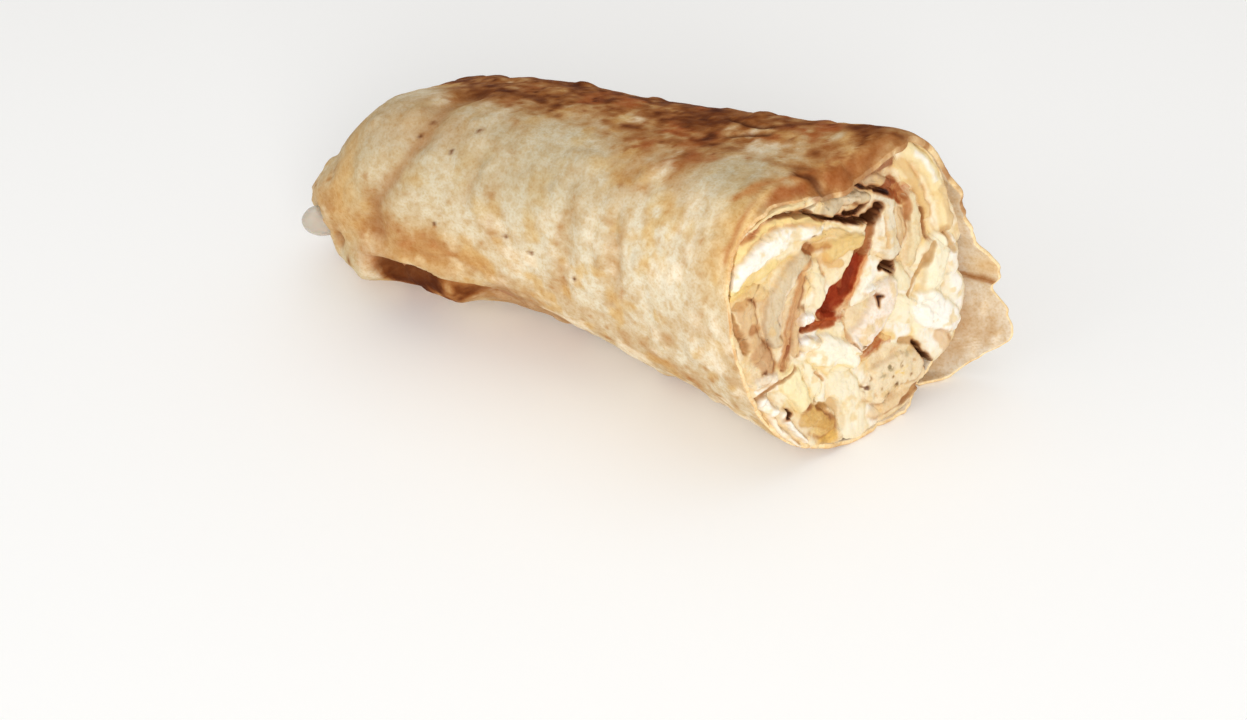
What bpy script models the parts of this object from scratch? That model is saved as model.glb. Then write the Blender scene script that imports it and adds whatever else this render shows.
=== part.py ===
"""Half of a filled flatbread wrap, lying on its side, cut on a slant at +X and folded shut at -X.

All sizes are in millimetres until a mesh is written, which is in metres.
Places on the cut are given in the plane of the cut: across (to the right as seen from the cut
end) and up, both from the middle of the cut.
"""
import math

import bmesh
import bpy
import numpy as np

MM = 0.001

# The rolled bread's outer form, by distance from the middle of the cut towards the folded end
STATIONS = np.array([0.0, 19.0, 49.0, 80.0, 103.0, 118.0, 128.5])
HALF_WIDTH = np.array([27.1, 26.0, 23.5, 23.1, 21.4, 13.9, 3.0])
HALF_HEIGHT = np.array([25.9, 25.5, 23.3, 23.0, 20.8, 13.8, 3.0])
SIDE_SHIFT = np.array([0.0, 2.7, 4.1, 2.9, -0.4, -3.9, -7.3])
CENTRE_HEIGHT = np.array([25.4, 25.1, 24.0, 23.4, 20.3, 14.2, 14.5])
SQUARENESS = 2.15          # power of the section's rounded-square outline
SHOULDER_ANGLE = 60.0      # direction of the raised corner near the cut, degrees
SHOULDER_SPREAD = 26.0
SHOULDER_RISE = 0.28
SHOULDER_LENGTH = 60.0     # how far along the wrap the raised corner fades out
CROWN_ANGLE = 125.0        # direction of the fuller top on the near side
CROWN_SPREAD = 34.0
CROWN_RISE = 0.27

# The tucked fold along the lower near side of the folded end
TUCK_START = (78.0, 92.0)     # distance from the cut over which it begins
TUCK_ANGLE = 214.0
TUCK_LEDGE = (-4.0, 5.0)      # degrees from its middle over which its upper edge rises
TUCK_FADE = (26.0, 48.0)      # degrees from its middle over which it ends below
TUCK_RISE = 0.02

# The slanted cut
CUT_MIDDLE = np.array([0.0, 0.0, 27.0])
CUT_NORMAL = np.array([0.905, -0.356, 0.234]) / np.linalg.norm([0.905, -0.356, 0.234])
CUT_ACROSS = np.cross([0.0, 0.0, 1.0], CUT_NORMAL) / np.linalg.norm(CUT_NORMAL[:2])
CUT_UP = np.cross(CUT_NORMAL, CUT_ACROSS)
CUT_ROUNDS = 12            # rounds of the search for where a line meets the cut

# The sheet of bread, rolled from its loose outer edge inwards
SHEET = 1.1                # thickness
TURN_PITCH = 1.45          # from one turn's outer face to the next
ROLL_START = -63           # degrees: the loose edge, low on the far side
ROLL_END = 594
ROLL_STEP = 9
SEAM_RAMP = (279.0, 297.0)  # where the sheet dips under its own loose edge
FLARE_REACH = 6.0          # how far the loose edge stands off the roll at the cut
FLARE_LENGTH = 16.0        # distance behind the cut over which it closes up
FLARE_SPREAD = 96.0        # degrees from the loose edge over which it joins the roll
# Torn edge of the loose flap: angle, half-spread, reach past the cut
FLAP_LOBES = ((20.0, 20.0, 3.0), (-6.0, 13.0, 5.0), (-31.0, 13.0, 8.5))

# Cross rows shared by the bread and the filling
ROWS = (20.0, 40.0, 60.0, 80.0, 98.0)
FRONT_ROWS = 3             # further rows of the sheet, from the cut to the first of these
SHEET_END = 105.0

# The folded end: how far it stands proud of the sheet, its rings and its pleats
END_FOLD_PROUD = 0.4
END_FOLD_RINGS = (100.0, 106.0, 111.0, 115.5, 119.5, 123.0, 126.0, 128.2)
END_PLEATS = 5
END_PLEAT_DEPTH = 0.05
END_PLEAT_START = (104.0, 116.0)

FILLING_DEPTH = 3.0        # from the wrap's outer face to the filling
FILLING_GAP = 0.5          # between two pieces at the cut
FILLING_SWELL = 0.7        # how far a piece spreads past its listed size where it has room
SHORTEST_SIDE = 0.7        # closer points of an outline are merged
SPINE_HALF = 4             # steps from the middle of a piece's middle line to its end
OUTWARD_STEPS = 80         # places tested from the middle of a piece to its full outline
OUTLINE_STEP = 2.3         # spacing of the points round a filling piece

# The drop of sauce at the tip of the folded end
DROP_PLACE = (125.0, 194.0)   # distance from the cut, and direction in degrees
DROP_SPREAD = (2.8, 2.6)      # half-sizes along and around the wrap
DROP_HEIGHT = 3.0
DROP_EDGE = 0.4               # thickness at its rim
DROP_SIDES = 12
DROP_RINGS_BELOW = (0.5, 1.0)
DROP_RINGS_ABOVE = (1.0, 0.75, 0.4)
TOUCH_GAP = 0.4

SHARP_ANGLE = 40.0            # edges that turn by more are shaded sharp, degrees

# Colour, roughness
LOOKS = {
    "bread": ((0.72, 0.50, 0.27), 0.7),
    "chicken": ((0.66, 0.46, 0.29), 0.55),
    "potato": ((0.86, 0.68, 0.32), 0.5),
    "pepper": ((0.42, 0.06, 0.02), 0.4),
    "sauce": ((0.88, 0.82, 0.64), 0.35),
    "pickle": ((0.42, 0.27, 0.09), 0.5),
}

# Filling: name, kind, middle (across, up), length, thickness, tilt in degrees, bow
FILLING = (
    ("potato_top", "potato", (-16.6, 18.9), 21.5, 5.8, 3, 0.8),
    ("potato_wedge", "potato", (-14.0, 24.3), 12.0, 1.4, 0, 0.5),
    ("potato_rind", "potato", (-4.2, 19.4), 16.0, 1.6, -33, 0.5),
    ("potato_middle", "potato", (-3.0, 12.2), 13.0, 7.2, -14, 0.4),
    ("chicken_curl", "chicken", (1.8, 21.8), 10.0, 6.0, -10, 0.6),
    ("chicken_upper", "chicken", (9.0, 22.6), 10.0, 5.0, -24, 0.4),
    ("pepper_upper", "pepper", (13.0, 18.2), 7.5, 2.8, -52, 0.3),
    ("chicken_centre", "chicken", (9.4, 12.4), 12.5, 5.8, 82, -0.5),
    ("bread_strip", "bread", (19.0, 15.6), 24.0, 3.2, -70, 1.6),
    ("chicken_edge", "chicken", (15.4, 10.0), 15.0, 3.4, -86, 0.6),
    ("pickle_bit", "pickle", (-8.9, 15.6), 4.2, 2.2, -50, 0.0),
    ("chicken_left", "chicken", (-16.4, 8.2), 17.0, 5.4, 64, 0.9),
    ("chicken_left_outer", "chicken", (-21.6, 5.6), 14.0, 3.6, 74, 0.6),
    ("chicken_left_rim", "chicken", (-24.2, 10.0), 9.0, 2.4, 80, 0.3),
    ("chicken_left_inner", "chicken", (-13.2, 3.4), 14.0, 2.8, 62, 0.5),
    ("sauce_left", "sauce", (-8.6, 7.4), 9.5, 4.6, 72, 0.0),
    ("pepper_long", "pepper", (-0.8, 7.0), 14.5, 3.6, 42, -0.4),
    ("pepper_short", "pepper", (-8.4, 1.0), 8.0, 1.8, -4, 0.5),
    ("sauce_dollop", "sauce", (-11.8, -1.4), 7.0, 3.4, 84, 0.0),
    ("chicken_low_outer", "chicken", (-21.4, -2.4), 8.0, 4.0, 62, 0.3),
    ("chicken_low_inner", "chicken", (-17.0, -3.0), 8.0, 2.6, 66, 0.3),
    ("sauce_rim", "sauce", (-21.8, -6.8), 7.5, 3.0, 16, 0.0),
    ("bread_crumb", "bread", (-21.4, -10.6), 6.0, 2.6, -50, 0.0),
    ("bread_rib", "bread", (-16.6, -15.6), 12.0, 1.2, -54, -0.4),
    ("potato_low_left", "potato", (-15.6, -10.0), 11.0, 5.0, -64, 0.0),
    ("potato_low", "potato", (-5.6, -6.4), 12.0, 8.8, -22, 0.0),
    ("sauce_wedge", "sauce", (-11.4, -11.4), 10.0, 4.2, -66, 0.0),
    ("pickle_leaf", "pickle", (-10.6, -18.4), 9.0, 5.6, -28, 0.0),
    ("sauce_low", "sauce", (-3.4, -17.2), 15.0, 10.0, -24, 0.0),
    ("sauce_centre", "sauce", (4.0, 4.4), 9.0, 4.2, 50, 0.0),
    ("chicken_oval", "chicken", (3.6, -2.8), 13.0, 7.6, 32, 0.3),
    ("pepper_thin", "pepper", (3.8, -9.2), 9.5, 1.6, -4, 0.7),
    ("sauce_bridge", "sauce", (11.8, -4.0), 15.0, 6.0, 58, 0.0),
    ("potato_right", "potato", (18.4, 0.4), 13.0, 8.6, 74, 0.0),
    ("sauce_right", "sauce", (18.6, -9.6), 13.0, 8.4, 62, 0.0),
    ("chicken_speckled", "chicken", (6.8, -17.2), 14.5, 10.4, 16, 0.0),
)


def section_value(values, distance):
    """Smooth curve through one size at the stations, straight before the first."""
    slopes = np.gradient(values, STATIONS)
    last = len(STATIONS) - 2
    index = np.clip(np.searchsorted(STATIONS, distance) - 1, 0, last)
    span = STATIONS[index + 1] - STATIONS[index]
    t = np.clip((distance - STATIONS[index]) / span, 0.0, 1.0)
    start = (2 * t**3 - 3 * t**2 + 1) * values[index] + (t**3 - 2 * t**2 + t) * span * slopes[index]
    finish = (3 * t**2 - 2 * t**3) * values[index + 1] + (t**3 - t**2) * span * slopes[index + 1]
    return start + finish


def smooth_step(value, low, high):
    t = np.clip((value - low) / (high - low), 0.0, 1.0)
    return t * t * (3 - 2 * t)


def turn_from(angle, middle):
    """Signed angle in degrees from middle, between -180 and 180."""
    return (angle - middle + 180.0) % 360.0 - 180.0


def outline_scale(distance, angle):
    """Distance of the section's outline from its centre, as a share of the half-sizes."""
    radians = np.radians(angle)
    power = SQUARENESS
    scale = (np.abs(np.cos(radians))**power + np.abs(np.sin(radians))**power)**(-1 / power)
    shoulder = np.exp(-(turn_from(angle, SHOULDER_ANGLE) / SHOULDER_SPREAD)**2)
    shoulder = SHOULDER_RISE * shoulder * np.exp(-np.maximum(distance, 0.0) / SHOULDER_LENGTH)
    crown = CROWN_RISE * np.exp(-(turn_from(angle, CROWN_ANGLE) / CROWN_SPREAD)**2)
    below = turn_from(angle, TUCK_ANGLE)
    tuck = TUCK_RISE * smooth_step(distance, *TUCK_START)
    tuck = tuck * smooth_step(below, *TUCK_LEDGE) * (1 - smooth_step(below, *TUCK_FADE))
    return scale * (1 + shoulder + crown + tuck)


def wrap_point(distance, angle, depth):
    """Point at a depth below the wrap's outer face; the underside is pressed flat."""
    radians = np.radians(angle)
    scale = outline_scale(distance, angle)
    y = (section_value(HALF_WIDTH, distance) - depth) * scale * np.cos(radians)
    z = (section_value(HALF_HEIGHT, distance) - depth) * scale * np.sin(radians)
    y = y + section_value(SIDE_SHIFT, distance)
    z = np.maximum(z + section_value(CENTRE_HEIGHT, distance), max(depth, 0.0))
    return np.array([-distance, y, z])


def cut_distance(angle, depth):
    """Where the lengthwise line at this angle and depth meets the plane of the cut."""
    distance = 0.0
    for _ in range(CUT_ROUNDS):
        offset = wrap_point(distance, angle, depth) - CUT_MIDDLE
        distance = (CUT_NORMAL[1] * offset[1] + CUT_NORMAL[2] * offset[2]) / CUT_NORMAL[0]
    return distance


# --- bread ---------------------------------------------------------------------------------

def turn_depth(roll_angle):
    return TURN_PITCH * smooth_step(roll_angle, *SEAM_RAMP)


def flare(roll_angle, behind_cut):
    """How far the loose edge stands off the roll."""
    near_edge = 1 - smooth_step(roll_angle, ROLL_START, ROLL_START + FLARE_SPREAD)
    near_cut = 1 - smooth_step(behind_cut, 0.0, FLARE_LENGTH)
    return FLARE_REACH * near_edge * near_cut


def flap_reach(roll_angle):
    """How far the torn edge of the loose flap runs past the plane of the cut."""
    return sum(reach * math.exp(-((roll_angle - angle) / spread)**2)
               for angle, spread, reach in FLAP_LOBES)


def sheet_point(roll_angle, row, inner):
    depth = turn_depth(roll_angle) + (SHEET if inner else 0.0)
    cut = cut_distance(roll_angle, depth)
    front = cut - flap_reach(roll_angle)
    if row < FRONT_ROWS:
        distance = front + (ROWS[0] - front) * row / FRONT_ROWS
    else:
        distance = (ROWS + (SHEET_END,))[row - FRONT_ROWS]
    lift = flare(roll_angle, distance - front)
    return wrap_point(distance, roll_angle, depth - lift) * MM


def rolled_sheet():
    """The rolled sheet as one closed mesh: outer face, inner face and the four edges."""
    rows = range(FRONT_ROWS + len(ROWS) + 1)
    columns = range(ROLL_START, ROLL_END + 1, ROLL_STEP)
    mesh = bmesh.new()
    faces = [[[mesh.verts.new(sheet_point(angle, row, inner)) for row in rows]
              for angle in columns] for inner in (False, True)]
    outer, inner = faces
    for c in range(len(columns) - 1):
        for r in rows[:-1]:
            mesh.faces.new((outer[c][r], outer[c][r + 1], outer[c + 1][r + 1], outer[c + 1][r]))
            mesh.faces.new((inner[c][r], inner[c + 1][r], inner[c + 1][r + 1], inner[c][r + 1]))
        for r in (rows[0], rows[-1]):
            mesh.faces.new((outer[c][r], outer[c + 1][r], inner[c + 1][r], inner[c][r]))
    for c in (0, -1):
        for r in rows[:-1]:
            mesh.faces.new((outer[c][r], inner[c][r], inner[c][r + 1], outer[c][r + 1]))
    return mesh


def end_fold():
    """The folded end: a solid cap whose pleats gather towards its tip."""
    mesh = bmesh.new()
    rings = []
    for distance in END_FOLD_RINGS:
        pleats = END_PLEAT_DEPTH * smooth_step(distance, *END_PLEAT_START)
        centre = np.array([-distance, section_value(SIDE_SHIFT, distance),
                           section_value(CENTRE_HEIGHT, distance)])
        ring = []
        for angle in range(0, 360, ROLL_STEP):
            gather = pleats * math.cos(math.radians(END_PLEATS * angle))
            point = wrap_point(distance, angle, -END_FOLD_PROUD)
            ring.append(mesh.verts.new((centre + (point - centre) * (1 + gather)) * MM))
        for vertex in ring:
            vertex.co.z = max(vertex.co.z, 0.0)
        rings.append(ring)
    for near, far in zip(rings, rings[1:]):
        for k in range(len(near)):
            after = (k + 1) % len(near)
            mesh.faces.new((near[k], near[after], far[after], far[k]))
    mesh.faces.new(rings[0])
    mesh.faces.new(rings[-1])
    return mesh


# --- filling -------------------------------------------------------------------------------

def spine_points(piece):
    """Middle line of a slice's section, bowed to the left of its direction."""
    _, _, middle, length, thickness, tilt, bow = piece
    along = np.array([math.cos(math.radians(tilt)), math.sin(math.radians(tilt))])
    side = np.array([-along[1], along[0]])
    reach = (length - thickness) / 2
    places = np.linspace(-1, 1, 2 * SPINE_HALF + 1)
    return np.array([middle + along * reach * t + side * bow * (1 - t * t) for t in places])


def outside_by(spine, thickness, points):
    """Distance of each point from the piece's full outline, negative inside it."""
    start, step = spine[:-1], np.diff(spine, axis=0)
    offset = points[..., None, :] - start
    share = np.clip((offset * step).sum(-1) / (step * step).sum(-1), 0.0, 1.0)
    nearest = np.linalg.norm(offset - step * share[..., None], axis=-1).min(-1)
    return nearest - thickness / 2 - FILLING_SWELL


def plane_point(places):
    return CUT_MIDDLE + places[..., :1] * CUT_ACROSS + places[..., 1:] * CUT_UP


def section_place(points):
    """Each point's place in its section, as shares of the half-width and half-height."""
    distance = -points[..., 0]
    a = (points[..., 1] - section_value(SIDE_SHIFT, distance)) / section_value(HALF_WIDTH, distance)
    b = points[..., 2] - section_value(CENTRE_HEIGHT, distance)
    return distance, a, b / section_value(HALF_HEIGHT, distance)


def filling_reach(distance, angle):
    """How far the filling may spread from the section's centre, as a share of the half-sizes."""
    return outline_scale(distance, angle) * (1 - FILLING_DEPTH / section_value(HALF_HEIGHT, distance))


def inside_bread(places):
    distance, a, b = section_place(plane_point(places))
    return np.hypot(a, b) < filling_reach(distance, np.degrees(np.arctan2(b, a)))


def belongs(index, places, spines):
    """True where a piece is nearer than every neighbour by the gap, and inside the bread."""
    own = outside_by(spines[index], FILLING[index][4], places)
    kept = inside_bread(places)
    for other, spine in enumerate(spines):
        if other != index:
            kept &= own < outside_by(spine, FILLING[other][4], places) - FILLING_GAP
    return kept


def rim_points(piece, spine):
    """Points spaced evenly round a slice's full outline."""
    half = piece[4] / 2 + FILLING_SWELL
    ends = max(3, round(math.pi * half / OUTLINE_STEP))
    sides = max(2, round((piece[3] - piece[4]) / OUTLINE_STEP))
    last = len(spine) - 1
    rim = []
    for start, finish, sign in ((0, last, 1), (last, 0, -1)):
        for t in np.linspace(start, finish, sides + 1):
            low = min(int(t), last - 1)
            along = spine[low + 1] - spine[low]
            side = np.array([along[1], -along[0]]) * sign / np.linalg.norm(along)
            rim.append(spine[low] + along * (t - low) + side * half)
        first = math.atan2(side[1], side[0])
        for k in range(1, ends):
            turn = first + math.pi * k / ends
            rim.append(spine[finish] + np.array([math.cos(turn), math.sin(turn)]) * half)
    return np.array(rim)


def filling_outline(index, spines):
    """Outline on the cut: out from the middle to the full shape, or to where a neighbour begins."""
    middle = spines[index][SPINE_HALF]
    shares = np.linspace(0, 1, OUTWARD_STEPS + 1)
    rays = rim_points(FILLING[index], spines[index]) - middle
    kept = belongs(index, middle + rays[:, None, :] * shares[:, None], spines)
    reached = np.where(kept.all(1), OUTWARD_STEPS, np.argmin(kept, axis=1) - 1)
    outline = []
    for ray, step in zip(rays, reached):
        place = middle + ray * shares[max(step, 0)]
        if not outline or np.linalg.norm(place - outline[-1]) > SHORTEST_SIDE:
            outline.append(place)
    if np.linalg.norm(outline[0] - outline[-1]) < SHORTEST_SIDE:
        outline.pop()
    return outline


def strand_point(place, row):
    """The point at a cross row on the lengthwise line through a place on the cut."""
    front = plane_point(place)
    if row == 0:
        return front
    distance, a, b = section_place(front)
    angle = math.degrees(math.atan2(b, a))
    target = ROWS[row - 1]
    shrink = filling_reach(target, angle) / filling_reach(distance, angle)
    y = section_value(SIDE_SHIFT, target) + section_value(HALF_WIDTH, target) * a * shrink
    z = section_value(CENTRE_HEIGHT, target) + section_value(HALF_HEIGHT, target) * b * shrink
    return np.array([-target, y, z])


def filling_strand(index, spines):
    """A filling piece from the cut to the folded end, following the wrap's taper."""
    outline = filling_outline(index, spines)
    mesh = bmesh.new()
    rings = [[mesh.verts.new(strand_point(place, row) * MM) for place in outline]
             for row in range(len(ROWS) + 1)]
    for near, far in zip(rings, rings[1:]):
        for k in range(len(near)):
            after = (k + 1) % len(near)
            mesh.faces.new((near[k], near[after], far[after], far[k]))
    mesh.faces.new(rings[0])
    mesh.faces.new(rings[-1])
    return mesh


# --- sauce drop ----------------------------------------------------------------------------

def drop_point(ring, angle, outer):
    """Point of the drop: its inner face follows the bread, its outer face swells."""
    along = DROP_PLACE[0] + DROP_SPREAD[0] * ring * math.cos(angle)
    radius = section_value(HALF_WIDTH, DROP_PLACE[0])
    around = DROP_PLACE[1] + math.degrees(DROP_SPREAD[1] / radius) * ring * math.sin(angle)
    height = DROP_HEIGHT * math.sqrt(max(1 - ring * ring, 0.0)) if outer else 0.0
    base = END_FOLD_PROUD + TOUCH_GAP + (DROP_EDGE if outer else 0.0)
    return wrap_point(along, around, -(base + height)) * MM


def sauce_drop():
    mesh = bmesh.new()
    layers = []
    for outer, rings in ((False, DROP_RINGS_BELOW), (True, DROP_RINGS_ABOVE)):
        for ring in rings:
            layers.append([mesh.verts.new(drop_point(ring, math.tau * k / DROP_SIDES, outer))
                           for k in range(DROP_SIDES)])
    for near, far in zip(layers, layers[1:]):
        for k in range(DROP_SIDES):
            after = (k + 1) % DROP_SIDES
            mesh.faces.new((near[k], near[after], far[after], far[k]))
    for ring, outer in ((layers[0], False), (layers[-1], True)):
        tip = mesh.verts.new(drop_point(0.0, 0.0, outer))
        for k in range(DROP_SIDES):
            mesh.faces.new((ring[k], ring[(k + 1) % DROP_SIDES], tip))
    return mesh


# --- objects -------------------------------------------------------------------------------

def make_material(kind):
    colour, roughness = LOOKS[kind]
    material = bpy.data.materials.new(kind)
    material.use_nodes = True
    shader = material.node_tree.nodes["Principled BSDF"]
    shader.inputs["Base Color"].default_value = (*colour, 1.0)
    shader.inputs["Roughness"].default_value = roughness
    shader.inputs["Metallic"].default_value = 0.0
    return material


def make_object(name, mesh, material):
    bmesh.ops.recalc_face_normals(mesh, faces=mesh.faces)
    bmesh.ops.triangulate(mesh, faces=mesh.faces)
    data = bpy.data.meshes.new(name)
    mesh.to_mesh(data)
    mesh.free()
    data.shade_smooth()
    data.set_sharp_from_angle(angle=math.radians(SHARP_ANGLE))
    data.materials.append(material)
    thing = bpy.data.objects.new(name, data)
    bpy.context.scene.collection.objects.link(thing)
    return thing


def join_with(thing, other):
    """Union of two overlapping bodies; the second stays as a hidden guide."""
    other.hide_render = True
    other.display_type = "WIRE"
    union = thing.modifiers.new("union", "BOOLEAN")
    union.operation = "UNION"
    union.solver = "EXACT"
    union.object = other


def stand_on_origin(things):
    """Move every mesh so that the origin is below the middle of the whole box."""
    corners = np.array([vertex.co for thing in things for vertex in thing.data.vertices])
    low, high = corners.min(0), corners.max(0)
    for thing in things:
        for vertex in thing.data.vertices:
            vertex.co.x -= (low[0] + high[0]) / 2
            vertex.co.y -= (low[1] + high[1]) / 2
            vertex.co.z -= low[2]


def main():
    for thing in list(bpy.data.objects):
        bpy.data.objects.remove(thing)
    materials = {kind: make_material(kind) for kind in LOOKS}
    bread = make_object("bread", rolled_sheet(), materials["bread"])
    fold = make_object("end_fold", end_fold(), materials["bread"])
    things = [bread, fold, make_object("sauce_drop", sauce_drop(), materials["sauce"])]
    spines = [spine_points(piece) for piece in FILLING]
    for index, piece in enumerate(FILLING):
        things.append(make_object(piece[0], filling_strand(index, spines), materials[piece[1]]))
    stand_on_origin(things)
    join_with(bread, fold)


main()
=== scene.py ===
"""Looks of a cut half of a filled flatbread wrap.

Shapes are worked out in millimetres from the middle of the cut, as distance along the wrap
towards its folded end and direction round it in degrees (0 far side, 90 top, 180 near side,
270 underside), and moved into the frame when a mesh is made.
Places on the cut are (across, up) from its middle.
"""
import math
from collections import namedtuple

import bmesh
import bpy
import numpy as np
from mathutils import Matrix, Vector


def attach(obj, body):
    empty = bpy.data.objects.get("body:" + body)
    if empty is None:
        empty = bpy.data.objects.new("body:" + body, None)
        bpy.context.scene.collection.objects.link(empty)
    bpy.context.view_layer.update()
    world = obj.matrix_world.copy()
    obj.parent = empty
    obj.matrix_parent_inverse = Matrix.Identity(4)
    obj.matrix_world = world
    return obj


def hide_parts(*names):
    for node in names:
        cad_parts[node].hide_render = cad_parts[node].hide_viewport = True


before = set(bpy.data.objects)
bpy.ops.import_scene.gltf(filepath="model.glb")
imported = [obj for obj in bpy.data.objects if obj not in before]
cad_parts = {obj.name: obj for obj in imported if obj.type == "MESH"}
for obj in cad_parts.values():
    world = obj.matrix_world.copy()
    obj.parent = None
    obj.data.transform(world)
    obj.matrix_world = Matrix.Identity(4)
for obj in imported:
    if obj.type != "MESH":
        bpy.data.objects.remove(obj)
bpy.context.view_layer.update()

MM = 0.001
TO_ROW = np.array([53.458, -1.756, 0.0])      # from the middle of the cut's foot to the frame

# --- the wrap's form, as in the solids ---------------------------------------------------------

STATIONS = np.array([0.0, 19.0, 49.0, 80.0, 103.0, 118.0, 128.5])
HALF_WIDTH = np.array([27.1, 26.0, 23.5, 23.1, 21.4, 13.9, 3.0])
HALF_HEIGHT = np.array([25.9, 25.5, 23.3, 23.0, 20.8, 13.8, 3.0])
SIDE_SHIFT = np.array([0.0, 2.7, 4.1, 2.9, -0.4, -3.9, -7.3])
CENTRE_HEIGHT = np.array([25.4, 25.1, 24.0, 23.4, 20.3, 14.2, 14.5])
SQUARENESS = 2.15
SHOULDER_ANGLE, SHOULDER_SPREAD, SHOULDER_RISE, SHOULDER_LENGTH = 60.0, 26.0, 0.28, 60.0
CROWN_ANGLE, CROWN_SPREAD, CROWN_RISE = 125.0, 34.0, 0.27

CUT_MIDDLE = np.array([0.0, 0.0, 27.0])
CUT_SLANT = np.array([0.905, -0.356, 0.234])
CUT_NORMAL = CUT_SLANT / np.linalg.norm(CUT_SLANT)
CUT_ACROSS = np.cross([0.0, 0.0, 1.0], CUT_NORMAL) / np.linalg.norm(CUT_NORMAL[:2])
CUT_UP = np.cross(CUT_NORMAL, CUT_ACROSS)
CUT_ROUNDS = 12                # rounds that find where a lengthwise line meets the cut

SHEET = 1.1                    # thickness of the bread
TURN_PITCH = 1.45              # depth from one turn of the roll to the next
ROLL_START, ROLL_END = -63.0, 594.0
# Directions over which the sheet's outer turn gives way to the turn inside it: its depth, its
# thickness, its front edge, its colour and its dip
SEAM_RAMP = (279.0, 297.0)
THICKNESS_RAMP = (280.0, 297.0)
FRONT_RAMP = (286.0, 297.0)
COLOUR_RAMP = (280.0, 292.0)
DIP_RAMP = (292.0, 300.0)
FLARE_REACH, FLARE_LENGTH, FLARE_SPREAD = 6.0, 16.0, 96.0
FLAP_LOBES = ((34.0, 3.5, 1.2), (20.0, 20.0, 2.2), (-6.0, 12.0, 4.6), (0.5, 4.5, 0.8),
              (-12.5, 3.0, -1.5), (-30.0, 13.5, 8.4), (-70.0, 15.0, -2.6))
TIP = 128.5

FILLING_DEPTH = 3.0            # under the bread's outer face
FILLING_SWELL = 0.7            # of each piece past its listed half-thickness
SPINE_HALF = 4                 # points on each half of a piece's middle line
# Distances at which the side of a piece has a row of points, behind those near the cut
ROWS = (20.0, 40.0, 60.0, 80.0, 98.0)

DROP_PLACE = (125.0, 194.0)
DROP_SHIFT = np.array([4.6, -4.0, 3.0])


def section_value(values, distance):
    slopes = np.gradient(values, STATIONS)
    index = np.clip(np.searchsorted(STATIONS, distance) - 1, 0, len(STATIONS) - 2)
    span = STATIONS[index + 1] - STATIONS[index]
    t = np.clip((distance - STATIONS[index]) / span, 0.0, 1.0)
    start = (2 * t**3 - 3 * t**2 + 1) * values[index] + (t**3 - 2 * t**2 + t) * span * slopes[index]
    finish = (3 * t**2 - 2 * t**3) * values[index + 1] + (t**3 - t**2) * span * slopes[index + 1]
    return start + finish


def smooth_step(value, low, high):
    t = np.clip((value - low) / (high - low), 0.0, 1.0)
    return t * t * (3 - 2 * t)


def bell(offset, width):
    """1 at no offset, falling to 0 on both sides."""
    return np.exp(-(offset / width)**2)


def turn_from(angle, middle):
    return (angle - middle + 180.0) % 360.0 - 180.0


def outline_scale(distance, angle):
    radians = np.radians(angle)
    power = SQUARENESS
    scale = (np.abs(np.cos(radians))**power + np.abs(np.sin(radians))**power)**(-1 / power)
    shoulder = bell(turn_from(angle, SHOULDER_ANGLE), SHOULDER_SPREAD)
    shoulder = SHOULDER_RISE * shoulder * np.exp(-np.maximum(distance, 0.0) / SHOULDER_LENGTH)
    crown = CROWN_RISE * bell(turn_from(angle, CROWN_ANGLE), CROWN_SPREAD)
    return scale * (1 + shoulder + crown)


def wrap_point(distance, angle, depth):
    """Places at a depth below the wrap's outer face, as an array of points."""
    radians = np.radians(angle)
    scale = outline_scale(distance, angle)
    y = (section_value(HALF_WIDTH, distance) - depth) * scale * np.cos(radians)
    z = (section_value(HALF_HEIGHT, distance) - depth) * scale * np.sin(radians)
    y = y + section_value(SIDE_SHIFT, distance)
    z = np.maximum(z + section_value(CENTRE_HEIGHT, distance), np.maximum(depth, 0.0))
    return np.stack([-distance + 0 * y, y, z], -1)


def cut_distance(angle, depth):
    distance = 0.0 * angle
    for _ in range(CUT_ROUNDS):
        offset = wrap_point(distance, angle, depth) - CUT_MIDDLE
        distance = (CUT_NORMAL[1] * offset[..., 1] + CUT_NORMAL[2] * offset[..., 2]) / CUT_NORMAL[0]
    return distance


# --- repeatable noise --------------------------------------------------------------------------

def lattice(cells, seed):
    """A number between -1 and 1 for each whole-number place, the same on every run."""
    n = cells[..., 0] * 374761393 + cells[..., 1] * 668265263 + cells[..., 2] * 982451653
    n = (n + seed * 1442695041) & 0xFFFFFFFF
    n = ((n ^ (n >> 13)) * 1274126177) & 0xFFFFFFFF
    n = ((n ^ (n >> 16)) * 2246822519) & 0xFFFFFFFF
    return ((n >> 8) & 0xFFFF) / 32767.5 - 1.0


def smooth_noise(places, size, seed):
    scaled = places / size
    low = np.floor(scaled).astype(np.int64)
    t = scaled - low
    t = t * t * t * (t * (t * 6 - 15) + 10)
    total = 0.0
    for corner in range(8):
        step = np.array([corner & 1, corner >> 1 & 1, corner >> 2 & 1])
        weight = np.prod(np.where(step, t, 1 - t), axis=-1)
        total = total + weight * lattice(low + step, seed)
    return total


def noise(places, size, seed, octaves=1):
    """Smooth noise; each octave has half the size and half the height of the one before."""
    total, reach = 0.0, 0.0
    for octave in range(octaves):
        share = 0.5**octave
        total = total + share * smooth_noise(places, size / 2**octave, seed + 31 * octave)
        reach += share
    return total / reach


def flat_places(across, up):
    return np.stack([across, up, 0 * across], -1)


# --- colour ------------------------------------------------------------------------------------

def linear(red, green, blue):
    """Screen colour, 0 to 255, as the linear colour that shaders use."""
    screen = np.array([red, green, blue]) / 255
    return np.where(screen <= 0.04045, screen / 12.92, ((screen + 0.055) / 1.055)**2.4)


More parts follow.
